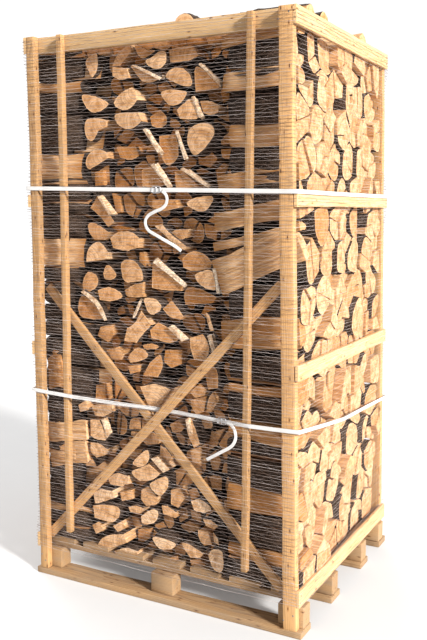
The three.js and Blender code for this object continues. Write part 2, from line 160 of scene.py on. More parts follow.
def shade_strap(tree):
    """Polyester cords side by side along the strap, crossed by a fine weft, a little soiled, and greyer in
    the weave's hollows as painted shade.
    """
    lay = place(tree, "ShaderNodeAttribute", attribute_name="grain").outputs["Vector"]
    parts = place(tree, "ShaderNodeSeparateXYZ", [(0, lay)])
    cords = reckon(tree, "SINE", reckon(tree, "MULTIPLY", parts.outputs[1], 2 * math.pi / CORD_PITCH))
    weft = reckon(tree, "SINE", reckon(tree, "MULTIPLY", parts.outputs[0], 2 * math.pi / WEFT_PITCH))
    height = reckon(tree, "ADD", reckon(tree, "MULTIPLY", cords, 0.6), reckon(tree, "MULTIPLY", weft, 0.25))
    soil_and_shade = speckle(tree, stretch(tree, lay, (14.0, 90.0, 90.0)), 1.0, 4.0)
    # Grey from soil in patches, and painted shade in the hollows where the weave is low.
    share = reckon(tree, "ADD", span(tree, soil_and_shade, 0.45, 0.8, 0.0, 0.5),
                   span(tree, height, -0.9, 0.2, 0.35, 0.0))
    return blend_colours(tree, share, STRAP_WHITE, STRAP_GREY), 0.62, height, 0.0003


woven_strap = finish_material("woven_strap", shade_strap)


def add_mesh(name, vertices, faces, materials, smooth=True, face_material=None, fields=None):
    """A mesh object at the origin from whole arrays of points and faces, its faces turned outwards."""
    mesh = bpy.data.meshes.new(name)
    mesh.from_pydata(vertices.tolist(), [], faces if isinstance(faces, list) else faces.tolist())
    for material in materials:
        mesh.materials.append(material)
    if face_material is not None:
        mesh.polygons.foreach_set("material_index", np.asarray(face_material, np.int32))
    smooth = np.broadcast_to(np.asarray(smooth, bool), len(mesh.polygons))
    mesh.polygons.foreach_set("use_smooth", smooth)
    for field, values in (fields or {}).items():
        values = np.asarray(values, np.float32)
        kind = "FLOAT_VECTOR" if values.ndim == 2 else "FLOAT"
        stored = mesh.attributes.new(field, kind, "POINT")
        stored.data.foreach_set("vector" if values.ndim == 2 else "value", values.ravel())
    shell = bmesh.new()
    shell.from_mesh(mesh)
    bmesh.ops.recalc_face_normals(shell, faces=shell.faces)
    shell.to_mesh(mesh)
    shell.free()
    mesh.update()
    piece = bpy.data.objects.new(name, mesh)
    bpy.context.scene.collection.objects.link(piece)
    return piece


def ring_faces(rings, around, closed=False):
    """Quads between neighbouring rings of a swept surface, as indices into ring-by-ring points."""
    ring, side = np.meshgrid(np.arange(rings if closed else rings - 1), np.arange(around), indexing="ij")
    after = (ring + 1) % rings
    beside = (side + 1) % around
    return np.stack([ring * around + side, ring * around + beside, after * around + beside,
                     after * around + side], -1).reshape(-1, 4)


def smooth_route(route, spacing):
    """Even points on a curve through the route: on each stretch a cubic that follows its neighbours."""
    route = np.asarray(route, float)
    knots = np.vstack([2 * route[0] - route[1], route, 2 * route[-1] - route[-2]])
    a, b, c, d = knots[:-3, None], knots[1:-2, None], knots[2:-1, None], knots[3:, None]
    t = np.linspace(0, 1, 16, endpoint=False)[None, :, None]
    fine = 0.5 * (2 * b + (c - a) * t + (2 * a - 5 * b + 4 * c - d) * t**2 + (3 * b - a - 3 * c + d) * t**3)
    fine = np.vstack([fine.reshape(-1, 3), route[-1]])
    along = np.concatenate([[0], np.cumsum(np.linalg.norm(np.diff(fine, axis=0), axis=1))])
    even = np.linspace(0, along[-1], max(3, int(round(along[-1] / spacing)) + 1))
    return np.stack([np.interp(even, along, fine[:, k]) for k in range(3)], 1), along[-1]


def flat_band(route, face, width, thick, closed=False):
    """A band with pillowed faces: across it the thickness is 1 - x^4, and it turns its face outwards."""
    ahead = np.roll(route, -1, 0) - np.roll(route, 1, 0)
    if not closed:
        ahead[0], ahead[-1] = route[1] - route[0], route[-1] - route[-2]
    ahead /= np.linalg.norm(ahead, axis=1, keepdims=True)
    face = np.broadcast_to(np.asarray(face, float), route.shape)
    face = face - (face * ahead).sum(1, keepdims=True) * ahead
    face /= np.linalg.norm(face, axis=1, keepdims=True)
    across = np.cross(ahead, face)
    x = np.array([-1, -0.8, -0.4, 0, 0.4, 0.8, 1, 0.8, 0.4, 0, -0.4, -0.8])
    lift = np.where(np.arange(12) < 7, 1, -1) * (1 - np.abs(x)**4)
    vertices = route[:, None] + across[:, None] * (x * width / 2)[None, :, None]
    vertices = vertices + face[:, None] * (lift * thick / 2)[None, :, None]
    along = np.concatenate([[0], np.cumsum(np.linalg.norm(np.diff(route, axis=0), axis=1))])
    grain = np.stack(np.broadcast_arrays(along[:, None], x[None] * width / 2, lift[None] * thick / 2), -1)
    faces = ring_faces(len(route), 12, closed).tolist()
    if not closed:
        faces += [list(range(12)), list(range((len(route) - 1) * 12, len(route) * 12))]
    return vertices.reshape(-1, 3), faces, grain.reshape(-1, 3)


def strap_end(name, route, node):
    """A free strap end along its route, facing the front."""
    route, length = smooth_route(route, TAIL_STEP)
    vertices, faces, grain = flat_band(route, (0, -1, 0), TAIL_WIDTH, TAIL_THICK)
    piece = add_mesh(name, vertices, faces, [woven_strap], fields={"grain": grain})
    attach(piece, "root")
    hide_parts(node)
    return piece, route, length


upper_route = [(x, UPPER_FACE + y, z) for x, y, z in UPPER_TAIL]
lower_route = [(LOWER_START[0] + x, LOWER_START[1] + y, z) for x, y, z in LOWER_TAIL]
upper_end, upper_line, upper_length = strap_end("strap_end_upper", upper_route, "strap_tail_upper")
lower_end, lower_line, lower_length = strap_end("strap_end_lower", lower_route, "strap_tail_lower")

# Buckles
# Bright steel wire bent into a rounded frame with a middle bar. The strap passes over the bar
# and back through, and holds by friction.
BUCKLE_LONG, BUCKLE_TALL, WIRE = 0.040, 0.026, 0.0032
BUCKLE_ROUND, LOOP_POINTS, BAR_POINTS, WIRE_POINTS = 0.4, 40, 6, 10
BAR_THIN = 0.98
BUCKLES = {
    # name: (middle, turn)
    "upper": ((0.012, -0.5194, 1.6045), 0.0),
    "lower": ((0.2759, -0.5013, 0.7637), math.radians(-8.7)),
}


def shade_wire(tree):
    """Drawn galvanised wire: bright grey with faint lengthways marks."""
    where = place(tree, "ShaderNodeTexCoord").outputs["Object"]
    mark = speckle(tree, stretch(tree, where, (90.0, 900.0, 900.0)), 1.0)
    colour = blend_colours(tree, mark, (0.55, 0.56, 0.58, 1), (0.72, 0.73, 0.75, 1))
    return colour, span(tree, mark, 0.3, 0.7, 0.28, 0.45), mark, 0.0002


buckle_wire = finish_material("buckle_wire", shade_wire)
buckle_wire.node_tree.nodes["Principled BSDF"].inputs["Metallic"].default_value = 1.0


def bent_wire(route, radius, closed):
    """Round wire: a circle of points carried along a route that lies in the plane of X and Z."""
    ahead = np.roll(route, -1, 0) - np.roll(route, 1, 0)
    if not closed:
        ahead[0], ahead[-1] = route[1] - route[0], route[-1] - route[-2]
    ahead /= np.linalg.norm(ahead, axis=1, keepdims=True)
    side = np.cross(ahead, (0.0, 1.0, 0.0))
    turn = np.linspace(0, 2 * math.pi, WIRE_POINTS, endpoint=False)
    points = route[:, None] + radius * (np.cos(turn)[None, :, None] * side[:, None]
                                        + np.sin(turn)[None, :, None] * np.array([0.0, 1.0, 0.0]))
    faces = ring_faces(len(route), WIRE_POINTS, closed).tolist()
    if not closed:
        last = (len(route) - 1) * WIRE_POINTS
        faces += [list(range(WIRE_POINTS)), list(range(last, last + WIRE_POINTS))]
    return points.reshape(-1, 3), faces


def rounded(wave):
    """A cosine or sine drawn out towards a square wave, which rounds the frame's corners."""
    return np.sign(wave) * np.abs(wave)**BUCKLE_ROUND


for title, (centre, turn) in BUCKLES.items():
    round_way = np.linspace(0, 2 * math.pi, LOOP_POINTS, endpoint=False)
    long_half, tall_half = (BUCKLE_LONG - WIRE) / 2, (BUCKLE_TALL - WIRE) / 2
    loop = np.stack([long_half * rounded(np.cos(round_way)), np.full(LOOP_POINTS, -WIRE / 2),
                     tall_half * rounded(np.sin(round_way))], 1)
    bar = np.stack([np.zeros(BAR_POINTS), np.full(BAR_POINTS, -WIRE / 2),
                    np.linspace(-tall_half, tall_half, BAR_POINTS)], 1)
    loop_points, loop_faces = bent_wire(loop, WIRE / 2, True)
    bar_points, bar_faces = bent_wire(bar, WIRE / 2 * BAR_THIN, False)
    points = np.vstack([loop_points, bar_points])
    faces = loop_faces + [[corner + len(loop_points) for corner in face] for face in bar_faces]
    swing = np.array([[math.cos(turn), math.sin(turn), 0], [-math.sin(turn), math.cos(turn), 0], [0, 0, 1]])
    wire_frame = add_mesh(f"wire_buckle_{title}", points @ swing + np.array(centre), faces, [buckle_wire])
    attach(wire_frame, "root")
    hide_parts(f"buckle_{title}")

# Light and floor
# Bright open shade, a broad key light from the front right and a softer fill from behind on the
# left, over a pale floor.
LAMPS = {
    # name: (towards, strength, spread in degrees)
    "key": ((-0.86, 0.32, -0.40), 6.4, 8),
    "fill": ((0.62, -0.60, -0.34), 2.6, 50),
}
LAMP_COLOUR = (1.0, 0.975, 0.94)
SKY_COLOUR, SKY_STRENGTH, BACKDROP_STRENGTH = (0.97, 0.98, 1.0, 1), 0.60, 0.9
FLOOR_GLOW = 0.14
for title, (towards, strength, spread) in LAMPS.items():
    lamp = bpy.data.objects.new(title, bpy.data.lights.new(title, "SUN"))
    lamp.data.energy, lamp.data.angle, lamp.data.color = strength, math.radians(spread), LAMP_COLOUR
    lamp.rotation_euler = Vector(towards).to_track_quat("-Z", "Y").to_euler()
    bpy.context.scene.collection.objects.link(lamp)

sky = bpy.data.worlds.new("sky")
sky.use_nodes = True
lit, seen = sky.node_tree.nodes["Background"], sky.node_tree.nodes.new("ShaderNodeBackground")
lit.inputs[0].default_value, lit.inputs[1].default_value = SKY_COLOUR, SKY_STRENGTH
seen.inputs[0].default_value, seen.inputs[1].default_value = (1, 1, 1, 1), BACKDROP_STRENGTH
choose = place(sky.node_tree, "ShaderNodeMixShader", [
    (0, sky.node_tree.nodes.new("ShaderNodeLightPath").outputs["Is Camera Ray"]),
    (1, lit.outputs[0]), (2, seen.outputs[0])])
sky.node_tree.links.new(choose.outputs[0], sky.node_tree.nodes["World Output"].inputs[0])
bpy.context.scene.world = sky
bpy.context.scene.view_settings.view_transform = "Standard"
bpy.context.scene.view_settings.look = "Medium High Contrast"

FLOOR = np.array([[-14, -9, 0], [9, -9, 0], [9, 22, 0], [-14, 22, 0]], float)


def shade_floor(tree):
    """A pale floor with a faint cloudiness."""
    where = place(tree, "ShaderNodeTexCoord").outputs["Object"]
    cloud = speckle(tree, where, 3.0)
    return blend_colours(tree, cloud, (0.50, 0.50, 0.505, 1), (0.54, 0.54, 0.54, 1)), 0.9, cloud, 0.0002


pale_floor = finish_material("pale_floor", shade_floor)
floor_shader = pale_floor.node_tree.nodes["Principled BSDF"]
floor_shader.inputs["Emission Color"].default_value = (1, 1, 1, 1)
floor_shader.inputs["Emission Strength"].default_value = FLOOR_GLOW
add_mesh("floor", FLOOR, [[0, 1, 2, 3]], [pale_floor])

# Pallet
# Rough-sawn softwood: four runners on the ground, three blocks nailed on each, stringers and
# seven deck boards. The wood is greyish tan, and the saw has left it furred and ridged.
PALLET_PALE = (0.42, 0.275, 0.145, 1)
PALLET_DARK = (0.17, 0.085, 0.036, 1)
RUNNER_WIDE, RUNNER_THICK = 0.095, 0.026
HALF_RUNNER = 0.604
RUNNER_Y = (-0.4675, -0.153, 0.205, 0.4675)
BLOCK_X = (-0.550, 0.0, 0.550)
ROW_Y = (-0.4527, -0.153, 0.205, 0.4527)
BLOCK_WIDE, BLOCK_DEEP = 0.100, 0.064
BLOCK_TOP, STRINGER_TOP, DECK_TOP = 0.106, 0.126, 0.146
STRINGER_Y = (-0.4195, -0.153, 0.205, 0.4195)
HALF_STRINGER, HALF_DECK = 0.582, 0.4515
DECK_WIDE, DECK_BOARDS = 0.128, 7
STRINGER_WIDE, RUNNER_GAP = 0.064, 0.0015
KNOT_BROWN = (0.10, 0.045, 0.02, 1)
DIRT_GREY = (0.22, 0.18, 0.14, 1)
SAW_PITCH = 0.0042


def growth_group():
    """Wood's growth from a place in the log, x along the fibres and y, z out from the pith.
    Rings are the distance from the pith, shaken by noise, counted in ring widths."""
    made = bpy.data.node_groups.new("growth", "ShaderNodeTree")
    made.interface.new_socket("Grain", in_out="INPUT", socket_type="NodeSocketVector")
    width = made.interface.new_socket("Ring Width", in_out="INPUT", socket_type="NodeSocketFloat")
    width.default_value = 0.003
    for label in ("Rings", "Fibres", "Rays", "Patches", "Bands"):
        made.interface.new_socket(label, in_out="OUTPUT", socket_type="NodeSocketFloat")
    given = made.nodes.new("NodeGroupInput")
    given_grain, ring_width = given.outputs[0], given.outputs[1]
    parts = place(made, "ShaderNodeSeparateXYZ", [(0, given_grain)])
    across = place(made, "ShaderNodeCombineXYZ", [(1, parts.outputs[1]), (2, parts.outputs[2])]).outputs[0]
    radius = place(made, "ShaderNodeVectorMath", [(0, across)], operation="LENGTH").outputs["Value"]
    wander = speckle(made, stretch(made, given_grain, (3.0, 22.0, 22.0)), 1.0, 2.0)
    shaken = reckon(made, "MULTIPLY_ADD", wander, 0.016, radius)
    turn = reckon(made, "FRACT", reckon(made, "DIVIDE", shaken, ring_width))
    rings = reckon(made, "POWER", turn, 2.2)
    fibres = speckle(made, stretch(made, given_grain, (14.0, 620.0, 620.0)), 1.0, 4.0, 0.65)
    towards = place(made, "ShaderNodeVectorMath", [(0, across)], operation="NORMALIZE").outputs[0]
    ray_place = place(made, "ShaderNodeVectorMath", [(0, towards), (1, (15.0, 15.0, 15.0)), (2, across)],
                      operation="MULTIPLY_ADD").outputs[0]
    rays = speckle(made, ray_place, 1.0, 4.0, 0.65)
    patches = speckle(made, stretch(made, given_grain, (6.0, 38.0, 38.0)), 1.0, 3.0)
    bands = speckle(made, place(made, "ShaderNodeCombineXYZ", [(0, shaken)]).outputs[0], 150.0, 2.0)
    put = made.nodes.new("NodeGroupOutput")
    for index, value in enumerate((rings, fibres, rays, patches, bands)):
        made.links.new(value, put.inputs[index])
    return made


growth = growth_group()


def grown(tree, ring_width):
    """The wood's growth group on this surface, and the attributes that it reads."""
    grain = place(tree, "ShaderNodeAttribute", attribute_name="grain").outputs["Vector"]
    tone = place(tree, "ShaderNodeAttribute", attribute_name="tone").outputs["Fac"]
    found = place(tree, "ShaderNodeGroup", node_tree=growth)
    tree.links.new(grain, found.inputs[0])
    found.inputs[1].default_value = ring_width
    return grain, tone, found.outputs


def sawn_finish(name, pale, dark, ring_width, knots, greyed):
    """Sawn softwood: rings and fibres along the board, brown knots, cross ridges from the saw,
    grey dirt in patches, and each board a little paler or darker by its tone."""
    def shade(tree):
        grain, tone, wood = grown(tree, ring_width)
        streak = reckon(tree, "ADD", reckon(tree, "MULTIPLY", wood["Rings"], 0.42),
                        reckon(tree, "MULTIPLY", wood["Fibres"], 0.50))
        colour = blend_colours(tree, span(tree, streak, 0.12, 0.85), pale, dark)
        cell = place(tree, "ShaderNodeTexVoronoi", [("Vector", stretch(tree, grain, (4.5, 13.0, 13.0)))])
        chosen = reckon(tree, "GREATER_THAN", place(tree, "ShaderNodeSeparateColor",
                                                    [(0, cell.outputs["Color"])]).outputs[0], 1.0 - knots)
        away = cell.outputs["Distance"]
        knot = reckon(tree, "MULTIPLY", chosen, span(tree, away, 0.10, 0.17, 1.0, 0.0))
        knot_rim = reckon(tree, "MULTIPLY", chosen, span(tree, away, 0.15, 0.36, 0.55, 0.0))
        colour = blend_colours(tree, knot_rim, colour, (dark[0] * 0.85, dark[1] * 0.75, dark[2] * 0.6, 1))
        colour = blend_colours(tree, knot, colour, KNOT_BROWN)
        dirt = reckon(tree, "MULTIPLY", span(tree, wood["Patches"], 0.42, 0.75), greyed)
        colour = blend_colours(tree, dirt, colour, DIRT_GREY)
        light = span(tree, tone, 0.0, 1.0, 0.62, 1.30)
        colour = blend_colours(tree, 1.0, colour, place(tree, "ShaderNodeCombineXYZ",
                               [(0, light), (1, light), (2, light)]).outputs[0], "MULTIPLY")
        parts = place(tree, "ShaderNodeSeparateXYZ", [(0, grain)])
        ridge = reckon(tree, "SINE", reckon(tree, "MULTIPLY_ADD", parts.outputs[0], 2 * math.pi / SAW_PITCH,
                                            reckon(tree, "MULTIPLY", wood["Patches"], 30.0)))
        height = reckon(tree, "ADD", reckon(tree, "MULTIPLY", wood["Fibres"], 1.1),
                        reckon(tree, "MULTIPLY", ridge, 0.16))
        height = reckon(tree, "SUBTRACT", height, reckon(tree, "MULTIPLY", wood["Rings"], 0.25))
        roughness = span(tree, wood["Fibres"], 0.2, 0.8, 0.72, 0.92)
        return colour, roughness, height, 0.0009
    return finish_material(name, shade)


def board_profile(width, thick, worn):
    """A rectangle with worn corners, as 20 points round: each corner turns in three steps."""
    arc = np.radians([0, 45, 90])
    corners = [(1, 1), (-1, 1), (-1, -1), (1, -1)]
    points = []
    for quarter, (sx, sy) in enumerate(corners):
        turn = arc + quarter * math.pi / 2
        points.append(np.stack([sx * (width / 2 - worn) + worn * np.cos(turn),
                                sy * (thick / 2 - worn) + worn * np.sin(turn)], 1))
        ahead = corners[(quarter + 1) % 4]
        begin = points[-1][-1]
        finish = np.array([ahead[0] * (width / 2 - worn), ahead[1] * (thick / 2 - worn)])
        finish = finish + worn * np.array([math.cos(turn[-1]), math.sin(turn[-1])])
        points.append(begin + (finish - begin) * np.array([[1 / 3], [2 / 3]]))
    return np.vstack(points)


def sawn_boards(name, boards, material, nodes, worn=0.0018, step=0.03, bow=0.0015, rough=0.0006):
    """Boards of one kind in one mesh. Each is a worn rectangle carried from start to end. Its edges
    wander by three sines of random phase, it bows as half a sine, and its ends are rubbed in."""
    all_points, all_faces, all_grain, all_tone, all_smooth = [], [], [], [], []
    count = 0
    for number, (start, end, wide, thick_way, width, thick, tone) in enumerate(boards):
        rng = np.random.default_rng([len(name), number, int(1000 * abs(start[0]) + 10 * abs(start[2]))])
        start, end = np.asarray(start, float), np.asarray(end, float)
        wide, thick_way = np.asarray(wide, float), np.asarray(thick_way, float)
        length = np.linalg.norm(end - start)
        inner = np.linspace(0.002 / length, 1 - 0.002 / length, max(2, int(length / step)))
        s = np.concatenate([[0], inner, [1]])
        profile = board_profile(width, thick, min(worn, thick / 4))
        phase = rng.uniform(0, 2 * math.pi, (2, 3, len(profile)))
        beat = rng.uniform(0.7, 1.3, (2, 3, 1)) * np.array([2.0, 7.0, 17.0])[None, :, None]
        corner_drift = phase[:, :, :1] + 0.25 * np.sin(phase)
        wander = np.sin(s[None, None, :, None] * beat[..., None, :] * length * 2
                        + corner_drift[:, :, None, :])
        wander = (wander * np.array([1.0, 0.6, 0.4])[None, :, None, None]).sum(1) * rough
        rub = np.where((s == 0) | (s == 1), 1 - 0.0011 / (thick / 2), 1.0)
        u = profile[None, :, 0] * (1 - (1 - rub[:, None]) * thick / width) + wander[0]
        v = profile[None, :, 1] * rub[:, None] + wander[1]
        lift = rng.uniform(-1, 1, 2) * bow * min(1.0, length)
        u = u + lift[0] * np.sin(math.pi * s)[:, None]
        v = v + lift[1] * 0.5 * np.sin(math.pi * s)[:, None]
        points = start + (end - start) * s[:, None, None] + u[..., None] * wide + v[..., None] * thick_way
        pith = rng.uniform([-0.05, 0.03], [0.05, 0.10])
        grain = np.stack(np.broadcast_arrays(s[:, None] * length + 7.0 * number + rng.uniform(0, 3),
                                             u + pith[0], v + pith[1]), -1)
        around = len(profile)
        faces = (ring_faces(len(s), around) + count).tolist()
        begin_cap = np.arange(around) + count
        faces += [begin_cap.tolist(), (begin_cap + (len(s) - 1) * around).tolist()]
        all_smooth += [True] * (len(faces) - 2) + [False] * 2
        all_points.append(points.reshape(-1, 3))
        all_grain.append(grain.reshape(-1, 3))
        all_tone.append(np.full(len(s) * around, tone))
        all_faces += faces
        count += len(s) * around
    piece = add_mesh(name, np.vstack(all_points), all_faces, [material], all_smooth,
                     fields={"grain": np.vstack(all_grain), "tone": np.concatenate(all_tone)})
    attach(piece, "root")
    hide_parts(*nodes)
    return piece


ALONG_X, ALONG_Y, ALONG_Z = (1, 0, 0), (0, 1, 0), (0, 0, 1)
pallet_wood = sawn_finish("pallet_wood", PALLET_PALE, PALLET_DARK, 0.0042, 0.30, 0.55)
sawn_boards("pallet_runners", [
    ((-HALF_RUNNER, y, RUNNER_THICK / 2), (HALF_RUNNER, y, RUNNER_THICK / 2), ALONG_Y, ALONG_Z,
     RUNNER_WIDE, RUNNER_THICK - RUNNER_GAP, 0.72 - 0.08 * row) for row, y in enumerate(RUNNER_Y)
], pallet_wood, [f"pallet_runner_{row}" for row in (1, 2, 3, 4)], rough=0.0004, bow=0.0)
block_middle, block_tall = (BLOCK_TOP + RUNNER_THICK) / 2, BLOCK_TOP - RUNNER_THICK
sawn_boards("pallet_blocks", [
    ((x - BLOCK_WIDE / 2, y, block_middle), (x + BLOCK_WIDE / 2, y, block_middle), ALONG_Y, ALONG_Z,
     BLOCK_DEEP, block_tall, 0.55 + 0.12 * ((row + column) % 3))
    for row, y in enumerate(ROW_Y) for column, x in enumerate(BLOCK_X)
], pallet_wood, [
    f"pallet_block_{row}_{column}" for row in (1, 2, 3, 4) for column in (1, 2, 3)
], worn=0.003, bow=0.0)
deck_pitch = (2 * HALF_STRINGER - DECK_WIDE) / (DECK_BOARDS - 1)
deck_x = [-HALF_STRINGER + DECK_WIDE / 2 + deck_pitch * k for k in range(DECK_BOARDS)]
stringer_z = (BLOCK_TOP + STRINGER_TOP) / 2
deck_z = (STRINGER_TOP + DECK_TOP) / 2
sawn_boards("pallet_deck_boards", [
    ((-HALF_STRINGER, y, stringer_z), (HALF_STRINGER, y, stringer_z), ALONG_Y, ALONG_Z, STRINGER_WIDE,
     STRINGER_TOP - BLOCK_TOP, 0.5) for y in STRINGER_Y
] + [
    ((x, -HALF_DECK, deck_z), (x, HALF_DECK, deck_z), ALONG_X, ALONG_Z, DECK_WIDE, DECK_TOP - STRINGER_TOP,
     0.45 + 0.09 * (k % 3)) for k, x in enumerate(deck_x)
], pallet_wood, ["pallet_deck"])

# Posts
# Four sawn softwood posts at the corners, nailed to the ends of the pallet's runners. The two
# on the right are the wider ones, and they lean in a little with their wall.
FRAME_PALE = (0.69, 0.42, 0.195, 1)
FRAME_DARK = (0.36, 0.175, 0.062, 1)
HEIGHT, LEAN = 2.2, 0.044
POST_LOW, POST_Y, POST_DEEP = 0.0263, 0.500, 0.030
RIGHT_POST_X, RIGHT_POST_WIDE = 0.5597, 0.052
LEFT_POST_X, LEFT_POST_WIDE = -0.5667, 0.038


def leaning(x, z):
    """A place on the right-hand wall, which leans in over its height."""
    return x - LEAN * z / HEIGHT


frame_wood = sawn_finish("frame_wood", FRAME_PALE, FRAME_DARK, 0.0036, 0.42, 0.28)
for end, y in (("front", -POST_Y), ("rear", POST_Y)):
    sawn_boards(f"corner_post_{end}_right", [
        ((leaning(RIGHT_POST_X, POST_LOW), y, POST_LOW), (leaning(RIGHT_POST_X, HEIGHT), y, HEIGHT),
         ALONG_X, ALONG_Y, RIGHT_POST_WIDE, POST_DEEP, 0.62)
    ], frame_wood, [f"post_{end}_right"], worn=0.0024, rough=0.0009)
    sawn_boards(f"corner_post_{end}_left", [
        ((LEFT_POST_X, y, POST_LOW), (LEFT_POST_X, y, HEIGHT), ALONG_X, ALONG_Y, LEFT_POST_WIDE,
         POST_DEEP, 0.22)
    ], frame_wood, [f"post_{end}_left"], worn=0.0024, rough=0.0009)

# Stacked oak
# Seasoned oak split with an axe: wedges and halves about 0.3 m long, most with bark on the
# outer side. The side columns' logs lie along the crate's width, the rows' from front to rear.
LOG_PITCH, END_LOG_PITCH, BEHIND_PITCH = 0.140, 0.130, 0.130 * 0.82
COLUMN_INNER = {"left": -0.292, "right": 0.268}
COLUMN_Y = {"front": -0.446, "rear": 0.446}
STACK_LOW, STACK_TOP = 0.1463, 2.150
WALL_X, CENTRE_END = 0.5854, 0.450
ROW_INNER, ROW_GAP = 0.1535, 0.0003
END_CREAM = (0.83, 0.55, 0.325, 1)
END_ORANGE = (0.49, 0.185, 0.022, 1)
END_LATE = (0.26, 0.100, 0.024, 1)
# Painted highlight: the near white that tones above 1 bring in.
HIGHLIGHT_WHITE = (0.93, 0.83, 0.66, 1)
SPLIT_PALE = (0.84, 0.575, 0.345, 1)
SPLIT_TAN = (0.38, 0.165, 0.038, 1)
BARK_DARK = (0.030, 0.016, 0.010, 1)
BARK_GREY = (0.185, 0.120, 0.080, 1)
BARK_TAN = (0.20, 0.135, 0.08, 1)
OUTLINE_POINTS = 26
END_FINISH, SPLIT_FINISH, BARK_FINISH = 0, 1, 2
# Painted shade: how far the tone at a shaded log's inner end is cut.
DEEP_SHADE_TONE = 0.15
SMALLEST_END = 0.0011
COVERED_BELOW, COVERED_BARE = 0.03, 0.15


def shade_log_end(tree):
    """Cross-cut oak: fine rings, rays and drying cracks from the pith, pale sapwood by the bark,
    straight scratches from the chain saw, and each log creamier or more orange by its tone. A tone
    above 1 paints a near-white highlight."""
    grain, tone, wood = grown(tree, 0.0028)
    rind = place(tree, "ShaderNodeAttribute", attribute_name="rind").outputs["Fac"]
    base = blend_colours(tree, tone, END_ORANGE, END_CREAM)
    # Painted highlight: a tone above 1 turns the end near white.
    base = blend_colours(tree, span(tree, tone, 1.0, 1.5), base, HIGHLIGHT_WHITE)
    base = blend_colours(tree, span(tree, wood["Rings"], 0.3, 1.0, 0.0, 0.42), base, END_LATE)
    base = blend_colours(tree, span(tree, wood["Bands"], 0.42, 0.66, 0.0, 0.55), base, END_LATE)
    base = blend_colours(tree, span(tree, wood["Rays"], 0.50, 0.66, 0.0, 0.50), base, END_CREAM)
    base = blend_colours(tree, span(tree, wood["Patches"], 0.44, 0.66, 0.0, 0.68), base, SPLIT_TAN)
    base = blend_colours(tree, span(tree, rind, 0.35, 0.8, 0.0, 0.45), base, END_CREAM)
    base = blend_colours(tree, span(tree, rind, 0.86, 0.97, 0.0, 0.92), base, BARK_DARK)
    parts = place(tree, "ShaderNodeSeparateXYZ", [(0, grain)])
    crack_line = reckon(tree, "ABSOLUTE", reckon(tree, "SUBTRACT", wood["Rays"], 0.40))
    crack = reckon(tree, "MULTIPLY", span(tree, crack_line, 0.0, 0.010, 1.0, 0.0),
                   span(tree, wood["Patches"], 0.45, 0.60, 0.0, 0.85))
    base = blend_colours(tree, crack, base, BARK_DARK)
    slant = reckon(tree, "MULTIPLY_ADD", parts.outputs[1], 0.55, parts.outputs[2])
    cut = speckle(tree, place(tree, "ShaderNodeCombineXYZ", [(0, slant)]).outputs[0], 420.0, 2.0)
    base = blend_colours(tree, span(tree, cut, 0.45, 0.75, 0.0, 0.14), base, SPLIT_TAN)
    height = reckon(tree, "ADD", reckon(tree, "MULTIPLY", wood["Rings"], -0.25),
                    reckon(tree, "MULTIPLY", cut, 0.7))
    height = reckon(tree, "SUBTRACT", height, reckon(tree, "MULTIPLY", crack, 2.5))
    height = reckon(tree, "ADD", height, reckon(tree, "MULTIPLY", wood["Fibres"], 0.35))
    return base, span(tree, wood["Patches"], 0.3, 0.7, 0.74, 0.92), height, 0.0012


def shade_split_face(tree):
    """Wood torn along its fibres: long ridges and slivers, cream to tan, silvery flecks of ray. A tone above
    1 paints a near-white highlight.
    """
    grain, tone, wood = grown(tree, 0.0040)
    torn = speckle(tree, stretch(tree, grain, (4.0, 110.0, 110.0)), 1.0, 5.0, 0.68)
    base = blend_colours(tree, tone, SPLIT_TAN, SPLIT_PALE)
    # Painted highlight: a tone above 1 turns the face near white.
    base = blend_colours(tree, span(tree, tone, 1.0, 1.5), base, HIGHLIGHT_WHITE)
    base = blend_colours(tree, span(tree, wood["Fibres"], 0.35, 0.75, 0.0, 0.42), base, SPLIT_TAN)
    base = blend_colours(tree, span(tree, torn, 0.42, 0.60, 0.65, 0.0), base, SPLIT_TAN)
    base = blend_colours(tree, span(tree, torn, 0.54, 0.72, 0.0, 0.60), base, SPLIT_PALE)
    base = blend_colours(tree, span(tree, wood["Patches"], 0.58, 0.80, 0.0, 0.55), base, BARK_GREY)
    height = reckon(tree, "ADD", reckon(tree, "MULTIPLY", torn, 2.2),
                    reckon(tree, "MULTIPLY", wood["Fibres"], 0.8))
    return base, 0.85, height, 0.0030


def shade_bark(tree):
    """Oak bark: dark plates between deep furrows that run along the log, greyed on the crests."""
    grain, tone, wood = grown(tree, 0.0040)
    furrow = place(tree, "ShaderNodeTexVoronoi", [("Vector", stretch(tree, grain, (24.0, 95.0, 95.0)))],
                   feature="DISTANCE_TO_EDGE").outputs["Distance"]
    crest = speckle(tree, stretch(tree, grain, (40.0, 160.0, 160.0)), 1.0, 4.0)
    height = reckon(tree, "ADD", span(tree, furrow, 0.0, 0.22), reckon(tree, "MULTIPLY", crest, 0.6))
    share = reckon(tree, "MULTIPLY", span(tree, height, 0.55, 1.3), span(tree, tone, 0.0, 1.0, 0.45, 1.0))
    base = blend_colours(tree, share, BARK_DARK, BARK_GREY)
    base = blend_colours(tree, span(tree, wood["Patches"], 0.60, 0.78, 0.0, 0.6), base, BARK_TAN)
    return base, 0.93, height, 0.0045


log_finishes = [finish_material("oak_end", shade_log_end), finish_material("oak_split", shade_split_face),
                finish_material("oak_bark", shade_bark)]


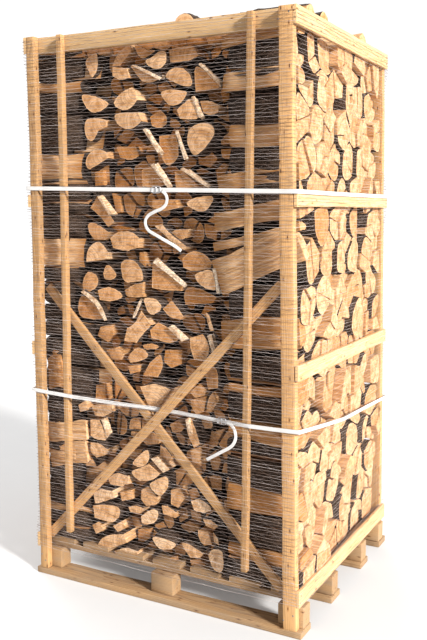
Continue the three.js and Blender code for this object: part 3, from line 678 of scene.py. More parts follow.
def spread_outline(corners, barked):
    """An outline as evenly shared points: each edge gets its share, starting at its corner. Points
    on bark are eased towards their neighbours, so that bark is round and split faces stay flat."""
    corners = np.asarray(corners, float)
    ahead = np.roll(corners, -1, 0)
    lengths = np.linalg.norm(ahead - corners, axis=1)
    shares = np.maximum(1, np.floor(lengths / lengths.sum() * OUTLINE_POINTS)).astype(int)
    while shares.sum() != OUTLINE_POINTS:
        shortfall = np.sign(OUTLINE_POINTS - shares.sum())
        pick = np.argmax(lengths / shares) if shortfall > 0 else np.argmax(shares)
        shares[pick] += shortfall
    edge = np.repeat(np.arange(len(corners)), shares)
    step = (np.arange(OUTLINE_POINTS) - np.repeat(np.cumsum(shares) - shares, shares)) / shares[edge]
    points = corners[edge] + (ahead - corners)[edge] * step[:, None]
    bark = np.asarray(barked, float)[edge]
    easing = bark * np.where(step == 0, bark[np.roll(np.arange(OUTLINE_POINTS), 1)], 1.0)
    for _ in range(3):
        middle = (np.roll(points, 1, 0) + np.roll(points, -1, 0)) / 2
        points = points + (middle - points) * 0.55 * easing[:, None]
    return points, bark


def split_logs(name, logs, nodes, seed, stations=7, waver=0.0022, shaded=False):
    """Split logs in one mesh. Each is (corners, barked, origin, across, up, inward, length, tone, pith):
    an outline in the plane of its end, drawn out along inward. Sections shift, turn and swell by
    sines along the log, bark bulges by noise, and the sawn end is tilted and rubbed at its rim.
    A shaded log's inner end gets painted shade, as it lies deep in the stack: its cap takes the
    dark bark finish and its last ring a darkened tone."""
    rng = np.random.default_rng(seed)
    total, n = len(logs), OUTLINE_POINTS
    outlines, barks = zip(*(spread_outline(log[0], log[1]) for log in logs))
    outline, bark = np.array(outlines), np.array(barks)
    origin, across, up, inward = (np.array([log[k] for log in logs], float) for k in (2, 3, 4, 5))
    length, tone = np.array([log[6] for log in logs]), np.array([log[7] for log in logs], float)
    pith = np.array([log[8] for log in logs], float)
    middle = outline.mean(1, keepdims=True)
    middle_u, middle_v = middle[..., :1], middle[..., 1:]
    s = np.concatenate([[0.0, 0.008], np.linspace(0.06, 1.0, stations - 2)])
    phase = rng.uniform(0, 2 * math.pi, (total, 4, 1))
    sway = np.sin(s[None, None] * rng.uniform(2, 6, (total, 4, 1)) + phase) - np.sin(phase)
    swell = 1 + 0.05 * sway[:, 0]
    turn = 0.05 * sway[:, 1]
    rim = np.where(s == 0, 0.975, 1.0)[None]
    flat = (outline - middle)[:, None] * (swell * rim)[..., None, None]
    cosine, sine = np.cos(turn)[..., None], np.sin(turn)[..., None]
    u = flat[..., 0] * cosine - flat[..., 1] * sine + (0.004 * sway[:, 2])[..., None]
    v = flat[..., 0] * sine + flat[..., 1] * cosine + (0.004 * sway[:, 3])[..., None]
    reach = np.sqrt(u**2 + v**2) + 1e-6
    knobs = rng.normal(0, 1, (total, len(s), n)) * np.where(bark[:, None] > 0, waver, waver * 0.35)
    knobs = knobs * np.where(s < 0.01, 0.4, 1.0)[None, :, None]
    u, v = u * (1 + knobs / reach) + middle_u, v * (1 + knobs / reach) + middle_v
    tilt = rng.uniform(-0.05, 0.05, (total, 2))
    near = np.maximum(0.0, 1 - s * 3)[None, :, None]
    slope = tilt[:, :1, None] * (u - middle_u) + tilt[:, 1:, None] * (v - middle_v)
    w = s[None, :, None] * length[:, None, None] + near * slope
    rind = np.broadcast_to(bark[:, None], u.shape)

    shrink = np.array([0.93, 0.55, 0.0])[None, :, None]
    cap_u = middle_u + (u[:, :1] - middle_u) * shrink
    cap_v = middle_v + (v[:, :1] - middle_v) * shrink
    level = np.broadcast_to(w[:, :1].mean(2, keepdims=True), cap_u.shape)
    cap_w = level * 0.5 + w[:, :1] * 0.5 - 0.0015 * (1 - shrink)
    cap_rind = bark[:, None] * np.array([0.55, 0.0, 0.0])[None, :, None]

    def whole(cap, sides, last):
        """A value for each point of a log: the end's middle, its two rings, the sides, the far middle."""
        return np.concatenate([cap[:, 2, :1], cap[:, 1], cap[:, 0], sides.reshape(total, -1), last], 1)

    u_all, v_all, w_all = (whole(cap, sides, sides[:, -1].mean(1, keepdims=True))
                           for cap, sides in ((cap_u, u), (cap_v, v), (cap_w, w)))
    rind_all = whole(cap_rind, rind, np.zeros((total, 1)))
    points = origin[:, None] + u_all[..., None] * across[:, None] + v_all[..., None] * up[:, None]
    points = points + w_all[..., None] * inward[:, None]
    shift = rng.uniform(0, 40, (total, 1))
    grain = np.stack([w_all + shift, u_all - pith[:, :1], v_all - pith[:, 1:]], -1)

    round_one = np.arange(n)
    beside = (round_one + 1) % n
    fan = np.stack([np.zeros(n, int), 1 + beside, 1 + round_one], 1)
    rings = ring_faces(len(s) + 2, n) + 1
    last = 1 + (len(s) + 1) * n
    back = np.stack([np.full(n, last + n), last + round_one, last + beside], 1)
    per_log = points.shape[1]
    offset = (np.arange(total) * per_log)[:, None, None]
    skin = np.where(bark > 0, BARK_FINISH, SPLIT_FINISH)
    # Painted shade on a shaded log's inner end: its cap takes the dark bark finish, and its last ring and far
    # middle a darkened tone.
    kinds = np.concatenate([np.full((total, n * 3), END_FINISH), np.tile(skin, (1, len(s) - 1)),
                            np.full((total, n), BARK_FINISH if shaded else END_FINISH)], 1)
    tones = np.repeat(tone[:, None], per_log, 1)
    if shaded:
        tones[:, -n - 1:] *= DEEP_SHADE_TONE
    fans, quads, backs = (fan + offset), (rings + offset), (back + offset)
    faces = [face for one in range(total)
             for face in fans[one].tolist() + quads[one].tolist() + backs[one].tolist()]
    kinds = kinds.ravel()
    piece = add_mesh(name, points.reshape(-1, 3), faces, log_finishes, kinds == BARK_FINISH, kinds, {
        "grain": grain.reshape(-1, 3), "tone": tones.ravel(), "rind": rind_all.ravel()})
    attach(piece, "root")
    if nodes:
        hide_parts(*nodes)
    return piece


def steady_numbers(seed):
    """Repeatable numbers between 0 and 1: each is the last times 16807, modulo 2^31 - 1."""
    state = seed
    while True:
        state = (state * 16807) % 2147483647
        yield state / 2147483647


def cut_outline(corners, kinds, normal, limit, new_kind):
    """The part of a convex outline where normal . p is below limit, each edge with its kind."""
    kept, kept_kinds = [], []
    for k, (here, kind) in enumerate(zip(corners, kinds)):
        there = corners[(k + 1) % len(corners)]
        inside, onward = here @ normal - limit, there @ normal - limit
        if inside <= 0:
            kept.append(here)
            kept_kinds.append(kind)
        if inside * onward < 0:
            kept.append(here + (there - here) * inside / (inside - onward))
            kept_kinds.append(new_kind if inside <= 0 else kind)
    return kept, kept_kinds


def log_sections(width, height, pitch, seed):
    """Rows of shaken centres and, round each, all that lies nearer to it than to the others."""
    numbers = steady_numbers(seed)
    rows, columns = round(height / (pitch * 0.87)), round(width / pitch)
    centres = []
    for row in range(rows):
        odd = row % 2
        for column in range(columns + odd):
            u = (column + (0 if odd else 0.5)) * (width / columns) + (next(numbers) - 0.5) * pitch * 0.5
            v = (row + 0.5) * (height / rows) + (next(numbers) - 0.5) * pitch * 0.42
            centres.append((min(max(u, pitch * 0.2), width - pitch * 0.2),
                            min(max(v, pitch * 0.2), height - pitch * 0.2)))
    centres = np.array(centres)
    found = []
    for centre in centres:
        corners = [np.array(p, float) for p in ((0, 0), (width, 0), (width, height), (0, height))]
        kinds = [1, 1, 1, 1]
        for other in centres[np.linalg.norm(centres - centre, axis=1) < pitch * 3]:
            normal = other - centre
            if normal @ normal > 0:
                corners, kinds = cut_outline(corners, kinds, normal, normal @ (centre + other) / 2, 1)
        found.append((corners, kinds, next(numbers)))
    return found


def axe_split(corners, kinds, rng, pitch):
    """A section split as by an axe: in two across its middle, or in three from near its heart."""
    points = np.array(corners)
    heart = points.mean(0) + rng.uniform(-0.12, 0.12, 2) * pitch
    begin = rng.uniform(0, 2 * math.pi)
    if rng.random() < 0.45:
        normal = np.array([math.cos(begin), math.sin(begin)])
        halves = [(normal, normal @ heart), (-normal, -normal @ heart)]
        parts = [cut_outline(corners, kinds, way, limit, 0) for way, limit in halves]
    else:
        turns = begin + np.array([0.0, 2.1, 4.2]) + rng.uniform(-0.35, 0.35, 3)
        parts = []
        for k in range(3):
            first, second = turns[k], turns[(k + 1) % 3]
            way_a = np.array([math.sin(first), -math.cos(first)])
            way_b = np.array([-math.sin(second), math.cos(second)])
            one = cut_outline(corners, kinds, way_a, way_a @ heart, 0)
            parts.append(cut_outline(*one, way_b, way_b @ heart, 0) if len(one[0]) > 2 else one)
    return [(np.array(c), np.array(k), heart) for c, k in parts if len(c) > 2]


def outline_area(corners):
    """The area inside a closed outline."""
    ahead = np.roll(corners, -1, 0)
    return abs((corners[:, 0] * ahead[:, 1] - corners[:, 1] * ahead[:, 0]).sum()) / 2


def bulged(corners, barked, width, height):
    """A section on the stack's side or top gets a round back: the joints there are pressed inwards,
    and two points between them stay out."""
    left, right = corners[:, 0] < 1e-6, corners[:, 0] > width - 1e-6
    top = corners[:, 1] > height - 1e-6
    pressed = corners + np.stack([(left.astype(float) - right) * 0.009, top * -0.012], 1)
    ahead = np.roll(corners, -1, 0)
    outer = (left & np.roll(left, -1)) | (right & np.roll(right, -1)) | (top & np.roll(top, -1))
    points = np.stack([pressed, corners + (ahead - corners) * 0.27, corners + (ahead - corners) * 0.73], 1)
    keep = np.stack([np.ones(len(corners), bool), outer, outer], 1).ravel()
    return points.reshape(-1, 2)[keep], np.repeat(barked, 3)[keep], outer.any()


def stacked_ends(width, height, pitch, seed, gap, bare):
    """Every split log of one stack as (corners, barked, ledge, pith, jut), a little apart and turned.
    Its ledge, 0 to 1, is shared with the others of its trunk, and its jut is its own, in metres."""
    rng = np.random.default_rng(seed)
    found = []
    for corners, kinds, ledge in log_sections(width, height, pitch, seed):
        for shape, barked, heart in axe_split(corners, kinds, rng, pitch):
            if outline_area(shape) < SMALLEST_END:
                continue
            shape, barked, outer = bulged(shape, barked, width, height)
            middle = shape.mean(0)
            turn = rng.uniform(-0.07, 0.07)
            swing = np.array([[math.cos(turn), -math.sin(turn)], [math.sin(turn), math.cos(turn)]])
            tight = 1 - gap / math.sqrt(outline_area(shape)) * rng.uniform(0.7, 1.5)
            shape = middle + (shape - middle) @ swing.T * tight + rng.uniform(-0.0015, 0.0015, 2)
            covered = outer and shape[:, 1].max() < height - COVERED_BELOW
            if rng.random() < bare * (COVERED_BARE if covered else 1.0):
                barked = barked * 0
            jut = rng.uniform(-0.008, 0.008) - (rng.uniform(0.012, 0.035) if rng.random() < 0.16 else 0.0)
            found.append((shape, barked, ledge, heart, jut))
    return found


# Logs seen from the side
# At both sides of the front the columns' logs lie along the crate, and these are the ones whose
# split faces catch the light. Each is a wedge with its flat face outwards. Thin chocks with bark
# all round lie in the chinks by the left post, as dark pieces that paint the shade there.
SIDE_ON = {
    # name: (tone, outline as pixels: left top, right top, right bottom, left bottom)
    "right_top": (0.45, ((222, 38), (283, 22), (283, 37), (222, 50))),
    "right_second": (0.70, ((222, 72), (283, 66), (283, 85), (222, 90))),
    "right_strap": (0.45, ((218, 178), (283, 163), (283, 185), (218, 192))),
    "right_ochre": (0.55, ((213, 209), (283, 203), (283, 218), (215, 235))),
    "right_short": (0.60, ((213, 242), (240, 236), (243, 244), (213, 252))),
    "right_large": (0.90, ((212, 260), (283, 232), (283, 268), (220, 295))),
    "right_faint": (0.35, ((222, 322), (283, 318), (283, 350), (222, 350))),
    "left_light": (0.75, ((40, 418), (62, 420), (62, 435), (40, 432))),
    "left_tan": (0.65, ((40, 437), (75, 442), (75, 462), (40, 460))),
    "left_cream": (0.90, ((64, 420), (86, 420), (86, 440), (66, 440))),
    "left_end": (0.85, ((77, 441), (86, 441), (86, 462), (77, 464))),
    "left_brown": (0.25, ((42, 352), (62, 352), (62, 388), (42, 388))),
}
SIDE_ON_FACE = -0.4490
SIDE_ON_DEEP = 0.068
SIDE_ON_LIMIT, SIDE_ON_CATCH, LONG_LOG = 0.577, 0.26, 0.2
WEDGE = np.array([(0.0, -0.5), (0.08, 0.5), (0.75, 0.30), (1.0, 0.0), (0.8, -0.4)])
CHOCK = np.array([(0.0, -0.5), (0.0, 0.5), (0.75, 0.42), (1.0, 0.0), (0.75, -0.42)])
CHOCKS = {
    # name: (height of its top edge, of its bottom edge) as pixels beside the left post
    "first": (77, 86), "second": (146, 157), "third": (233, 243), "fourth": (386, 396), "fifth": (412, 422),
    "sixth": (473, 483),
}
CHOCK_PIXELS = (38, 68)
side_logs, side_on_reach = [], []
for tone, pixels in SIDE_ON.values():
    left_top, right_top, right_bottom, left_bottom = on_front_plane(pixels, SIDE_ON_FACE)
    begin, finish = (right_top + right_bottom) / 2, (left_top + left_bottom) / 2
    for point, wall in ((begin, leaning(SIDE_ON_LIMIT, begin[1])), (finish, -SIDE_ON_LIMIT)):
        if abs(point[0] - wall) < SIDE_ON_CATCH:
            point[:] = wall, point[1] + (finish - begin)[1] / (finish - begin)[0] * (wall - point[0])
    run = finish - begin
    length = float(np.linalg.norm(run))
    inward = np.array([run[0], 0, run[1]]) / length
    up = np.array([-inward[2], 0, inward[0]]) * (-1 if inward[0] < 0 else 1)
    tall = (np.linalg.norm(right_top - right_bottom) + np.linalg.norm(left_top - left_bottom)) / 2
    side_on_reach.append((begin[0] > 0, min(left_bottom[1], right_bottom[1]), max(left_top[1], right_top[1]),
                          length > LONG_LOG))
    side_logs.append((WEDGE * (SIDE_ON_DEEP, tall), (0, 1, 1, 1, 1), (begin[0], SIDE_ON_FACE, begin[1]),
                      ALONG_Y, up, inward, length, tone, np.array([SIDE_ON_DEEP * 1.4, 0.0])))
# Painted shade: chocks with bark all round, dark in the chinks by the left post.
near_post, past_post = CHOCK_PIXELS
for top, bottom in CHOCKS.values():
    corner, foot, inner = on_front_plane([(near_post, top), (near_post, bottom), (past_post, top)],
                                         SIDE_ON_FACE)
    tall, outer_x = corner[1] - foot[1], -SIDE_ON_LIMIT
    side_logs.append((CHOCK * (SIDE_ON_DEEP, tall), (1, 1, 1, 1, 1),
                      (outer_x, SIDE_ON_FACE, (corner[1] + foot[1]) / 2), ALONG_Y, ALONG_Z, ALONG_X,
                      inner[0] - outer_x, 0.5, np.array([SIDE_ON_DEEP / 2, 0.0])))
split_logs("oak_side_on", side_logs, [], 43, stations=12, shaded=True)

column_wide, column_tall = COLUMN_Y["rear"] - COLUMN_Y["front"], STACK_TOP - STACK_LOW
tone_rng = np.random.default_rng(5)

# Front of the stack
# Log ends between the two columns, set back from the net by different amounts: the brighter a log
# looks, the nearer it lies, and the set-back ends have low tones, their own colour with painted
# shade in it. Between them the ends of others show further in, dark from low tones as painted shade.
FRONT_FACE = -0.447
FRONT_ENDS = {
    # name: (set back in centimetres, tone, outline as pixels in the view)
    "top_left": (0.5, 0.80, ((84, 60), (93, 54), (98, 51), (98, 70), (92, 80), (88, 72))),
    "top_fin": (1.5, 0.55, ((112, 66), (118, 52), (130, 43), (131, 52), (120, 66))),
    "top_slab": (0.5, 0.75, ((112, 67), (127, 68), (129, 78), (120, 81), (112, 76))),
    "top_grey": (2.5, 0.45, ((133, 42), (146, 50), (158, 50), (150, 55), (143, 60), (137, 56))),
    "top_pale": (0.0, 0.95, ((143, 61), (152, 57), (160, 50), (167, 50), (167, 60), (164, 68),
                             (155, 70), (150, 68))),
    "top_ridge": (1.5, 0.60, ((130, 66), (160, 79), (150, 84), (140, 80))),
    "top_beige": (1.0, 0.65, ((163, 77), (169, 69), (178, 66), (187, 69), (193, 78), (193, 88), (178, 85))),
    "top_wedge": (1.5, 0.30, ((194, 65), (200, 66), (219, 82), (219, 88), (195, 92), (194, 78))),
    "upper_loaf": (1.0, 0.60, ((158, 91), (170, 89), (190, 91), (184, 100), (178, 106), (168, 106),
                               (163, 99))),
    "upper_sail": (0.5, 0.70, ((176, 110), (182, 104), (190, 97), (193, 98), (201, 117), (198, 120),
                               (180, 119))),
    "upper_small": (1.0, 0.55, ((200, 101), (210, 100), (219, 105), (218, 113), (210, 116), (203, 113))),
    "upper_broad": (0.0, 0.80, ((186, 133), (190, 126), (205, 121), (213, 124), (218, 131), (208, 146),
                                (198, 155), (192, 158), (188, 150), (186, 142))),
    "upper_tray": (0.5, 0.75, ((80, 93), (95, 96), (111, 103), (104, 110), (95, 114), (88, 111),
                               (83, 103))),
    "upper_round": (0.0, 0.85, ((112, 103), (120, 93), (129, 88), (135, 91), (137, 100), (133, 107),
                                (128, 111), (120, 110), (113, 106))),
    "upper_bun": (0.0, 0.80, ((112, 114), (125, 112), (138, 112), (142, 121), (136, 128), (128, 130),
                              (120, 128), (114, 121))),
    "upper_stub": (1.0, 0.70, ((85, 118), (98, 118), (107, 120), (106, 127), (98, 131), (95, 140),
                               (90, 144), (86, 138), (84, 128))),
    "upper_amber": (4.0, 0.20, ((150, 117), (160, 109), (167, 116), (168, 124), (160, 129), (152, 126))),
    "upper_dim": (6.0, 0.15, ((170, 118), (178, 120), (182, 126), (176, 129), (170, 126))),
    "upper_rust": (2.5, 0.22, ((159, 136), (176, 134), (180, 148), (178, 160), (168, 168), (160, 158))),
    "upper_lobe": (1.0, 0.68, ((86, 157), (92, 150), (99, 148), (107, 152), (108, 158), (101, 163),
                               (92, 168), (88, 172), (85, 163))),
    "upper_brown": (4.0, 0.18, ((117, 147), (136, 146), (139, 156), (132, 161), (120, 158))),
    "strap_left": (5.0, 0.15, ((95, 172), (103, 170), (104, 185), (95, 186))),
    "strap_brown": (2.5, 0.35, ((142, 170), (152, 166), (165, 185), (160, 188), (142, 187))),
    "strap_amber": (2.0, 0.35, ((175, 172), (182, 170), (200, 187), (176, 189))),
    "mid_pale": (0.5, 0.85, ((184, 203), (195, 197), (215, 195), (212, 205), (203, 213), (193, 210))),
    "mid_cap": (2.5, 0.30, ((152, 200), (176, 200), (178, 208), (163, 212), (152, 207))),
    "mid_hook": (1.5, 0.40, ((90, 208), (97, 196), (101, 202), (108, 212), (115, 222), (108, 227),
                             (98, 214))),
    "mid_leaf": (1.0, 0.45, ((87, 222), (94, 222), (110, 232), (104, 240), (94, 240), (88, 232))),
    "mid_cream": (0.0, 0.92, ((86, 250), (92, 243), (97, 240), (104, 244), (109, 252), (107, 259),
                              (86, 262))),
    "mid_half": (1.0, 0.62, ((110, 238), (116, 232), (130, 230), (140, 238), (138, 248), (126, 252),
                             (113, 248))),
    "mid_dome": (0.5, 0.60, ((119, 262), (126, 258), (136, 260), (144, 272), (145, 282), (134, 282),
                             (124, 284), (121, 274))),
    "mid_pebble": (1.0, 0.60, ((103, 270), (107, 263), (113, 268), (118, 276), (112, 281), (103, 279))),
    "mid_left": (1.0, 0.50, ((82, 280), (88, 270), (96, 274), (100, 278), (97, 288), (90, 292), (82, 292))),
    "mid_low": (1.5, 0.55, ((124, 290), (134, 284), (143, 282), (143, 297), (135, 298), (126, 296))),
    "mid_fan": (1.5, 0.35, ((152, 262), (157, 264), (183, 284), (181, 291), (165, 291), (152, 288))),
    "mid_plum": (2.0, 0.30, ((182, 258), (188, 252), (197, 250), (207, 254), (212, 262), (210, 270),
                             (190, 272), (183, 268))),
    "mid_shell": (0.0, 0.80, ((192, 274), (205, 270), (212, 268), (215, 280), (218, 292), (208, 290),
                              (198, 284))),
    "mid_bead": (2.0, 0.50, ((171, 232), (176, 229), (189, 229), (186, 238), (178, 241), (172, 238))),
    "mid_side": (0.5, 1.00, ((154, 226), (162, 224), (168, 232), (188, 247), (184, 250), (172, 242))),
    "mid_chip": (3.0, 0.30, ((140, 252), (144, 252), (146, 268), (139, 268))),
    "mid_dark": (4.0, 0.12, ((182, 295), (186, 285), (200, 288), (217, 297), (214, 303), (185, 305))),
    "low_barked": (2.0, 0.28, ((80, 293), (88, 297), (98, 308), (105, 320), (96, 320), (80, 318),
                               (77, 308))),
    "low_tan": (1.5, 0.50, ((98, 290), (108, 286), (118, 290), (125, 297), (112, 302), (100, 300))),
    "low_nut": (3.0, 0.45, ((100, 327), (112, 325), (114, 335), (108, 342), (97, 336))),
    "low_gable": (0.5, 0.70, ((124, 341), (127, 328), (135, 324), (141, 311), (151, 325), (147, 331),
                              (141, 336), (137, 343))),
    "low_cream": (0.0, 0.95, ((142, 298), (150, 297), (158, 300), (163, 308), (157, 314), (150, 316),
                              (146, 308))),
    "low_kite": (1.0, 0.50, ((163, 309), (172, 300), (178, 308), (183, 316), (180, 320), (170, 318))),
    "low_roof": (1.5, 0.35, ((150, 330), (158, 322), (168, 327), (182, 340), (170, 344), (152, 338))),
    "low_strip": (2.0, 0.35, ((142, 345), (152, 343), (160, 346), (158, 349), (145, 350))),
    "low_bread": (1.5, 0.50, ((106, 350), (118, 347), (124, 352), (121, 360), (112, 360))),
    "low_oval": (1.0, 0.55, ((131, 352), (138, 346), (146, 350), (150, 356), (140, 362), (130, 363),
                             (128, 357))),
    "low_button": (2.0, 0.45, ((128, 366), (138, 365), (139, 372), (130, 374))),
    "low_broad": (2.0, 0.30, ((142, 376), (150, 362), (162, 352), (164, 366), (158, 378))),
    "low_brown": (3.0, 0.25, ((165, 350), (182, 350), (182, 364), (172, 368), (164, 362))),
    "low_right": (0.5, 0.62, ((190, 338), (203, 334), (208, 340), (210, 352), (205, 362), (194, 360),
                              (190, 350))),
    "low_slip": (0.0, 0.95, ((205, 311), (209, 314), (214, 331), (210, 331), (207, 321))),
    "cross_cream": (0.0, 0.95, ((140, 386), (156, 383), (171, 389), (157, 409), (149, 409))),
    "cross_tan": (1.0, 0.55, ((190, 392), (199, 384), (206, 390), (204, 396), (195, 398))),
    "cross_under": (1.5, 0.50, ((190, 400), (207, 396), (204, 412), (196, 415), (191, 408))),
    "cross_slim": (1.0, 0.60, ((208, 398), (213, 392), (217, 402), (212, 412), (206, 413))),
    "cross_side": (1.5, 0.45, ((205, 372), (212, 362), (218, 372), (218, 388), (208, 390))),
    "cross_left": (0.0, 0.92, ((91, 407), (112, 404), (113, 412), (105, 417), (95, 416))),
    "cross_brown": (2.5, 0.30, ((96, 385), (105, 384), (106, 402), (96, 400))),
    "cross_fleck": (0.5, 0.90, ((78, 405), (86, 400), (88, 410), (80, 412))),
    "base_half": (0.5, 0.75, ((90, 420), (100, 420), (107, 436), (108, 441), (96, 440), (90, 436))),
    "base_bun": (0.5, 0.72, ((90, 442), (100, 443), (108, 449), (106, 455), (96, 458), (90, 452))),
    "base_left": (2.5, 0.40, ((85, 450), (90, 454), (97, 466), (86, 466))),
    "base_amber": (2.0, 0.40, ((141, 432), (150, 430), (160, 436), (158, 444), (146, 445), (141, 440))),
    "base_dim": (3.0, 0.35, ((170, 424), (180, 422), (185, 428), (180, 433), (172, 432))),
    "base_prow": (1.0, 0.55, ((185, 420), (192, 420), (198, 436), (200, 444), (194, 448), (188, 436))),
    "base_post": (1.5, 0.45, ((190, 450), (200, 447), (200, 466), (192, 462))),
    "base_moon": (0.5, 0.75, ((131, 464), (140, 454), (148, 448), (150, 458), (146, 466), (138, 468))),
    "base_white": (0.0, 1.00, ((151, 459), (157, 457), (169, 470), (163, 473))),
    "base_tan": (0.5, 0.65, ((129, 471), (140, 468), (148, 464), (160, 474), (155, 480), (140, 482),
                             (134, 477))),
    "base_step": (0.5, 0.70, ((148, 484), (160, 478), (168, 475), (169, 488), (160, 498), (152, 490))),
    "base_orange": (1.5, 0.45, ((141, 490), (148, 486), (158, 498), (156, 505), (146, 506), (141, 500))),
    "base_notch": (2.0, 0.40, ((160, 445), (166, 448), (172, 456), (168, 462), (160, 456))),
    "base_grey": (0.5, 0.72, ((108, 478), (117, 472), (128, 476), (130, 484), (120, 487), (110, 484))),
    "base_bit": (1.0, 0.65, ((100, 472), (104, 474), (107, 482), (100, 484))),
    "base_cream": (0.0, 0.90, ((93, 492), (102, 488), (112, 491), (115, 498), (103, 502), (95, 504))),
    "base_large": (0.5, 0.65, ((93, 505), (107, 504), (121, 506), (121, 516), (113, 524), (104, 521),
                               (94, 518))),
    "base_slot": (2.0, 0.40, ((120, 492), (132, 490), (133, 499), (122, 501))),
    "base_flat": (1.0, 0.60, ((128, 507), (136, 505), (143, 508), (141, 513), (130, 512))),
    "base_full": (0.0, 0.88, ((141, 516), (151, 509), (159, 510), (158, 520), (152, 525), (142, 523))),
    "base_fin": (1.5, 0.50, ((161, 506), (166, 505), (176, 512), (176, 518), (163, 514))),
    "base_lens": (0.0, 0.88, ((191, 501), (198, 498), (206, 502), (213, 510), (204, 514), (194, 510))),
    "base_glow": (2.0, 0.40, ((171, 490), (180, 488), (185, 498), (178, 508), (171, 504))),
    "foot_tan": (1.0, 0.60, ((113, 526), (122, 521), (126, 528), (118, 532))),
    "foot_big": (0.5, 0.72, ((101, 538), (110, 534), (124, 534), (127, 543), (121, 545), (104, 550),
                             (96, 550), (98, 542))),
    "foot_cream": (0.0, 0.90, ((114, 551), (126, 547), (138, 551), (136, 558), (124, 560), (116, 556))),
    "foot_chip": (1.5, 0.60, ((92, 525), (98, 522), (104, 530), (96, 534))),
    "foot_long": (0.0, 0.88, ((151, 536), (160, 537), (178, 544), (172, 550), (160, 550), (154, 543))),
    "foot_mid": (0.5, 0.66, ((180, 541), (190, 544), (203, 553), (200, 558), (190, 558), (184, 550))),
    "foot_right": (0.0, 0.85, ((207, 552), (214, 548), (223, 550), (224, 568), (221, 575), (213, 570),
                               (209, 560))),
    "foot_amber": (1.5, 0.42, ((198, 530), (208, 532), (212, 545), (204, 546), (199, 540))),
    "foot_edge": (0.5, 0.85, ((213, 532), (218, 538), (219, 546), (214, 542))),
    "foot_lid": (1.0, 0.60, ((203, 519), (212, 520), (218, 526), (214, 530), (206, 526))),
    "foot_dim": (3.0, 0.30, ((161, 560), (178, 556), (178, 570), (165, 568))),
    "foot_brown": (3.0, 0.28, ((190, 560), (200, 559), (206, 566), (202, 574), (192, 570))),
    # a last layer that fills up to the top rail, its low tones painted shade under the rail
    "ledge_wall": (0.5, 0.30, ((44, 52), (64, 50), (64, 58), (46, 61))),
    "ledge_left": (1.0, 0.35, ((65, 50), (84, 48), (85, 57), (66, 58))),
    "ledge_amber": (1.0, 0.45, ((85, 48), (111, 45), (110, 53), (87, 57))),
    "ledge_near": (2.0, 0.25, ((112, 46), (129, 43), (126, 50), (114, 55))),
    "ledge_brown": (3.0, 0.20, ((137, 43), (152, 40), (154, 48), (146, 51), (139, 49))),
    "ledge_orange": (3.0, 0.40, ((152, 41), (169, 38), (172, 46), (166, 51), (154, 48))),
    "ledge_mid": (3.0, 0.25, ((169, 39), (186, 36), (188, 45), (172, 49))),
    "ledge_tan": (1.5, 0.42, ((168, 50), (176, 47), (192, 45), (199, 56), (190, 61), (170, 63))),
    "ledge_dark": (3.0, 0.15, ((186, 37), (205, 34), (207, 43), (188, 46))),
    "ledge_edge": (2.5, 0.30, ((205, 35), (224, 32), (224, 41), (208, 44))),
    # thin slivers painted near white by tones above 1: highlights that stand for the lit edges of other logs
    "sliver_top": (0.2, 1.4, ((131, 65), (134, 64), (161, 77), (159, 80))),
    "sliver_wedge": (0.3, 1.3, ((198, 64), (201, 63), (220, 80), (220, 84))),
    "sliver_sail": (0.2, 1.3, ((191, 97), (194, 96), (202, 116), (199, 118))),
    "sliver_rust": (0.5, 1.4, ((142, 129), (145, 128), (161, 151), (158, 153))),
    "sliver_amber": (0.5, 1.4, ((175, 132), (178, 131), (187, 159), (184, 160))),
    "sliver_strap": (0.5, 1.4, ((151, 165), (154, 163), (169, 184), (166, 186))),
    "sliver_ridge": (0.5, 1.3, ((180, 169), (183, 167), (208, 184), (206, 187))),
    "sliver_fan": (0.3, 1.5, ((153, 262), (156, 260), (186, 284), (183, 287))),
    "sliver_shell": (0.0, 1.5, ((212, 269), (215, 269), (220, 293), (217, 294))),
    "sliver_bark": (0.3, 1.4, ((81, 292), (84, 290), (95, 297), (103, 308), (107, 320), (104, 321),
                               (100, 311), (92, 301))),
    "sliver_peg": (0.2, 1.4, ((139, 301), (142, 301), (136, 317), (132, 320), (133, 315))),
    "sliver_roof": (0.3, 1.4, ((168, 328), (171, 326), (184, 340), (182, 342))),
    "sliver_right": (0.0, 1.4, ((207, 336), (211, 334), (216, 352), (212, 353))),
    "sliver_left": (0.3, 1.2, ((97, 197), (100, 196), (112, 214), (109, 215))),
    "sliver_base": (0.2, 1.3, ((101, 420), (104, 420), (109, 436), (107, 438))),
    "sliver_prow": (0.3, 1.3, ((185, 420), (188, 419), (192, 434), (189, 436))),
}
FRONT_LOG, SLIVER_LONG = 0.285, 0.026
BEHIND_FACE, BEHIND_RELIEF = -0.348, 0.045
# Painted light: ends low in the stack get a lighter tone. This covers the base and foot ends of the table,
# and the ends further in below LIT_BELOW.
LIT_BELOW, LIT_LIFT, FOOT_LIGHT_LIFT = 0.75, 0.3, 0.22
SHARP_CORNER = math.radians(46)


def barked_edges(corners):
    """Which edges of a listed end are bark: a run of edges between two sharp corners is an arc
    of bark where it has two or more edges, and a flat split face where it has one."""
    edges = np.roll(corners, -1, 0) - corners
    heading = np.arctan2(edges[:, 1], edges[:, 0])
    bend = np.abs((heading - np.roll(heading, 1) + math.pi) % (2 * math.pi) - math.pi)
    sharp = np.flatnonzero(bend > SHARP_CORNER)
    if len(sharp) == 0:
        return np.ones(len(corners), int)
    run = (np.searchsorted(sharp, np.arange(len(corners)), side="right") - 1) % len(sharp)
    return (np.bincount(run, minlength=len(sharp))[run] > 1).astype(int)


def heart_of(corners, barked):
    """Where the pith lies: the corner that is furthest from the bark, or just outside a bare end."""
    if barked.sum() == 0 or barked.sum() == len(barked):
        return corners.mean(0) + (0.012, -0.02)
    rim = corners[barked > 0].mean(0)
    return corners[np.argmax(np.linalg.norm(corners - rim, axis=1))]


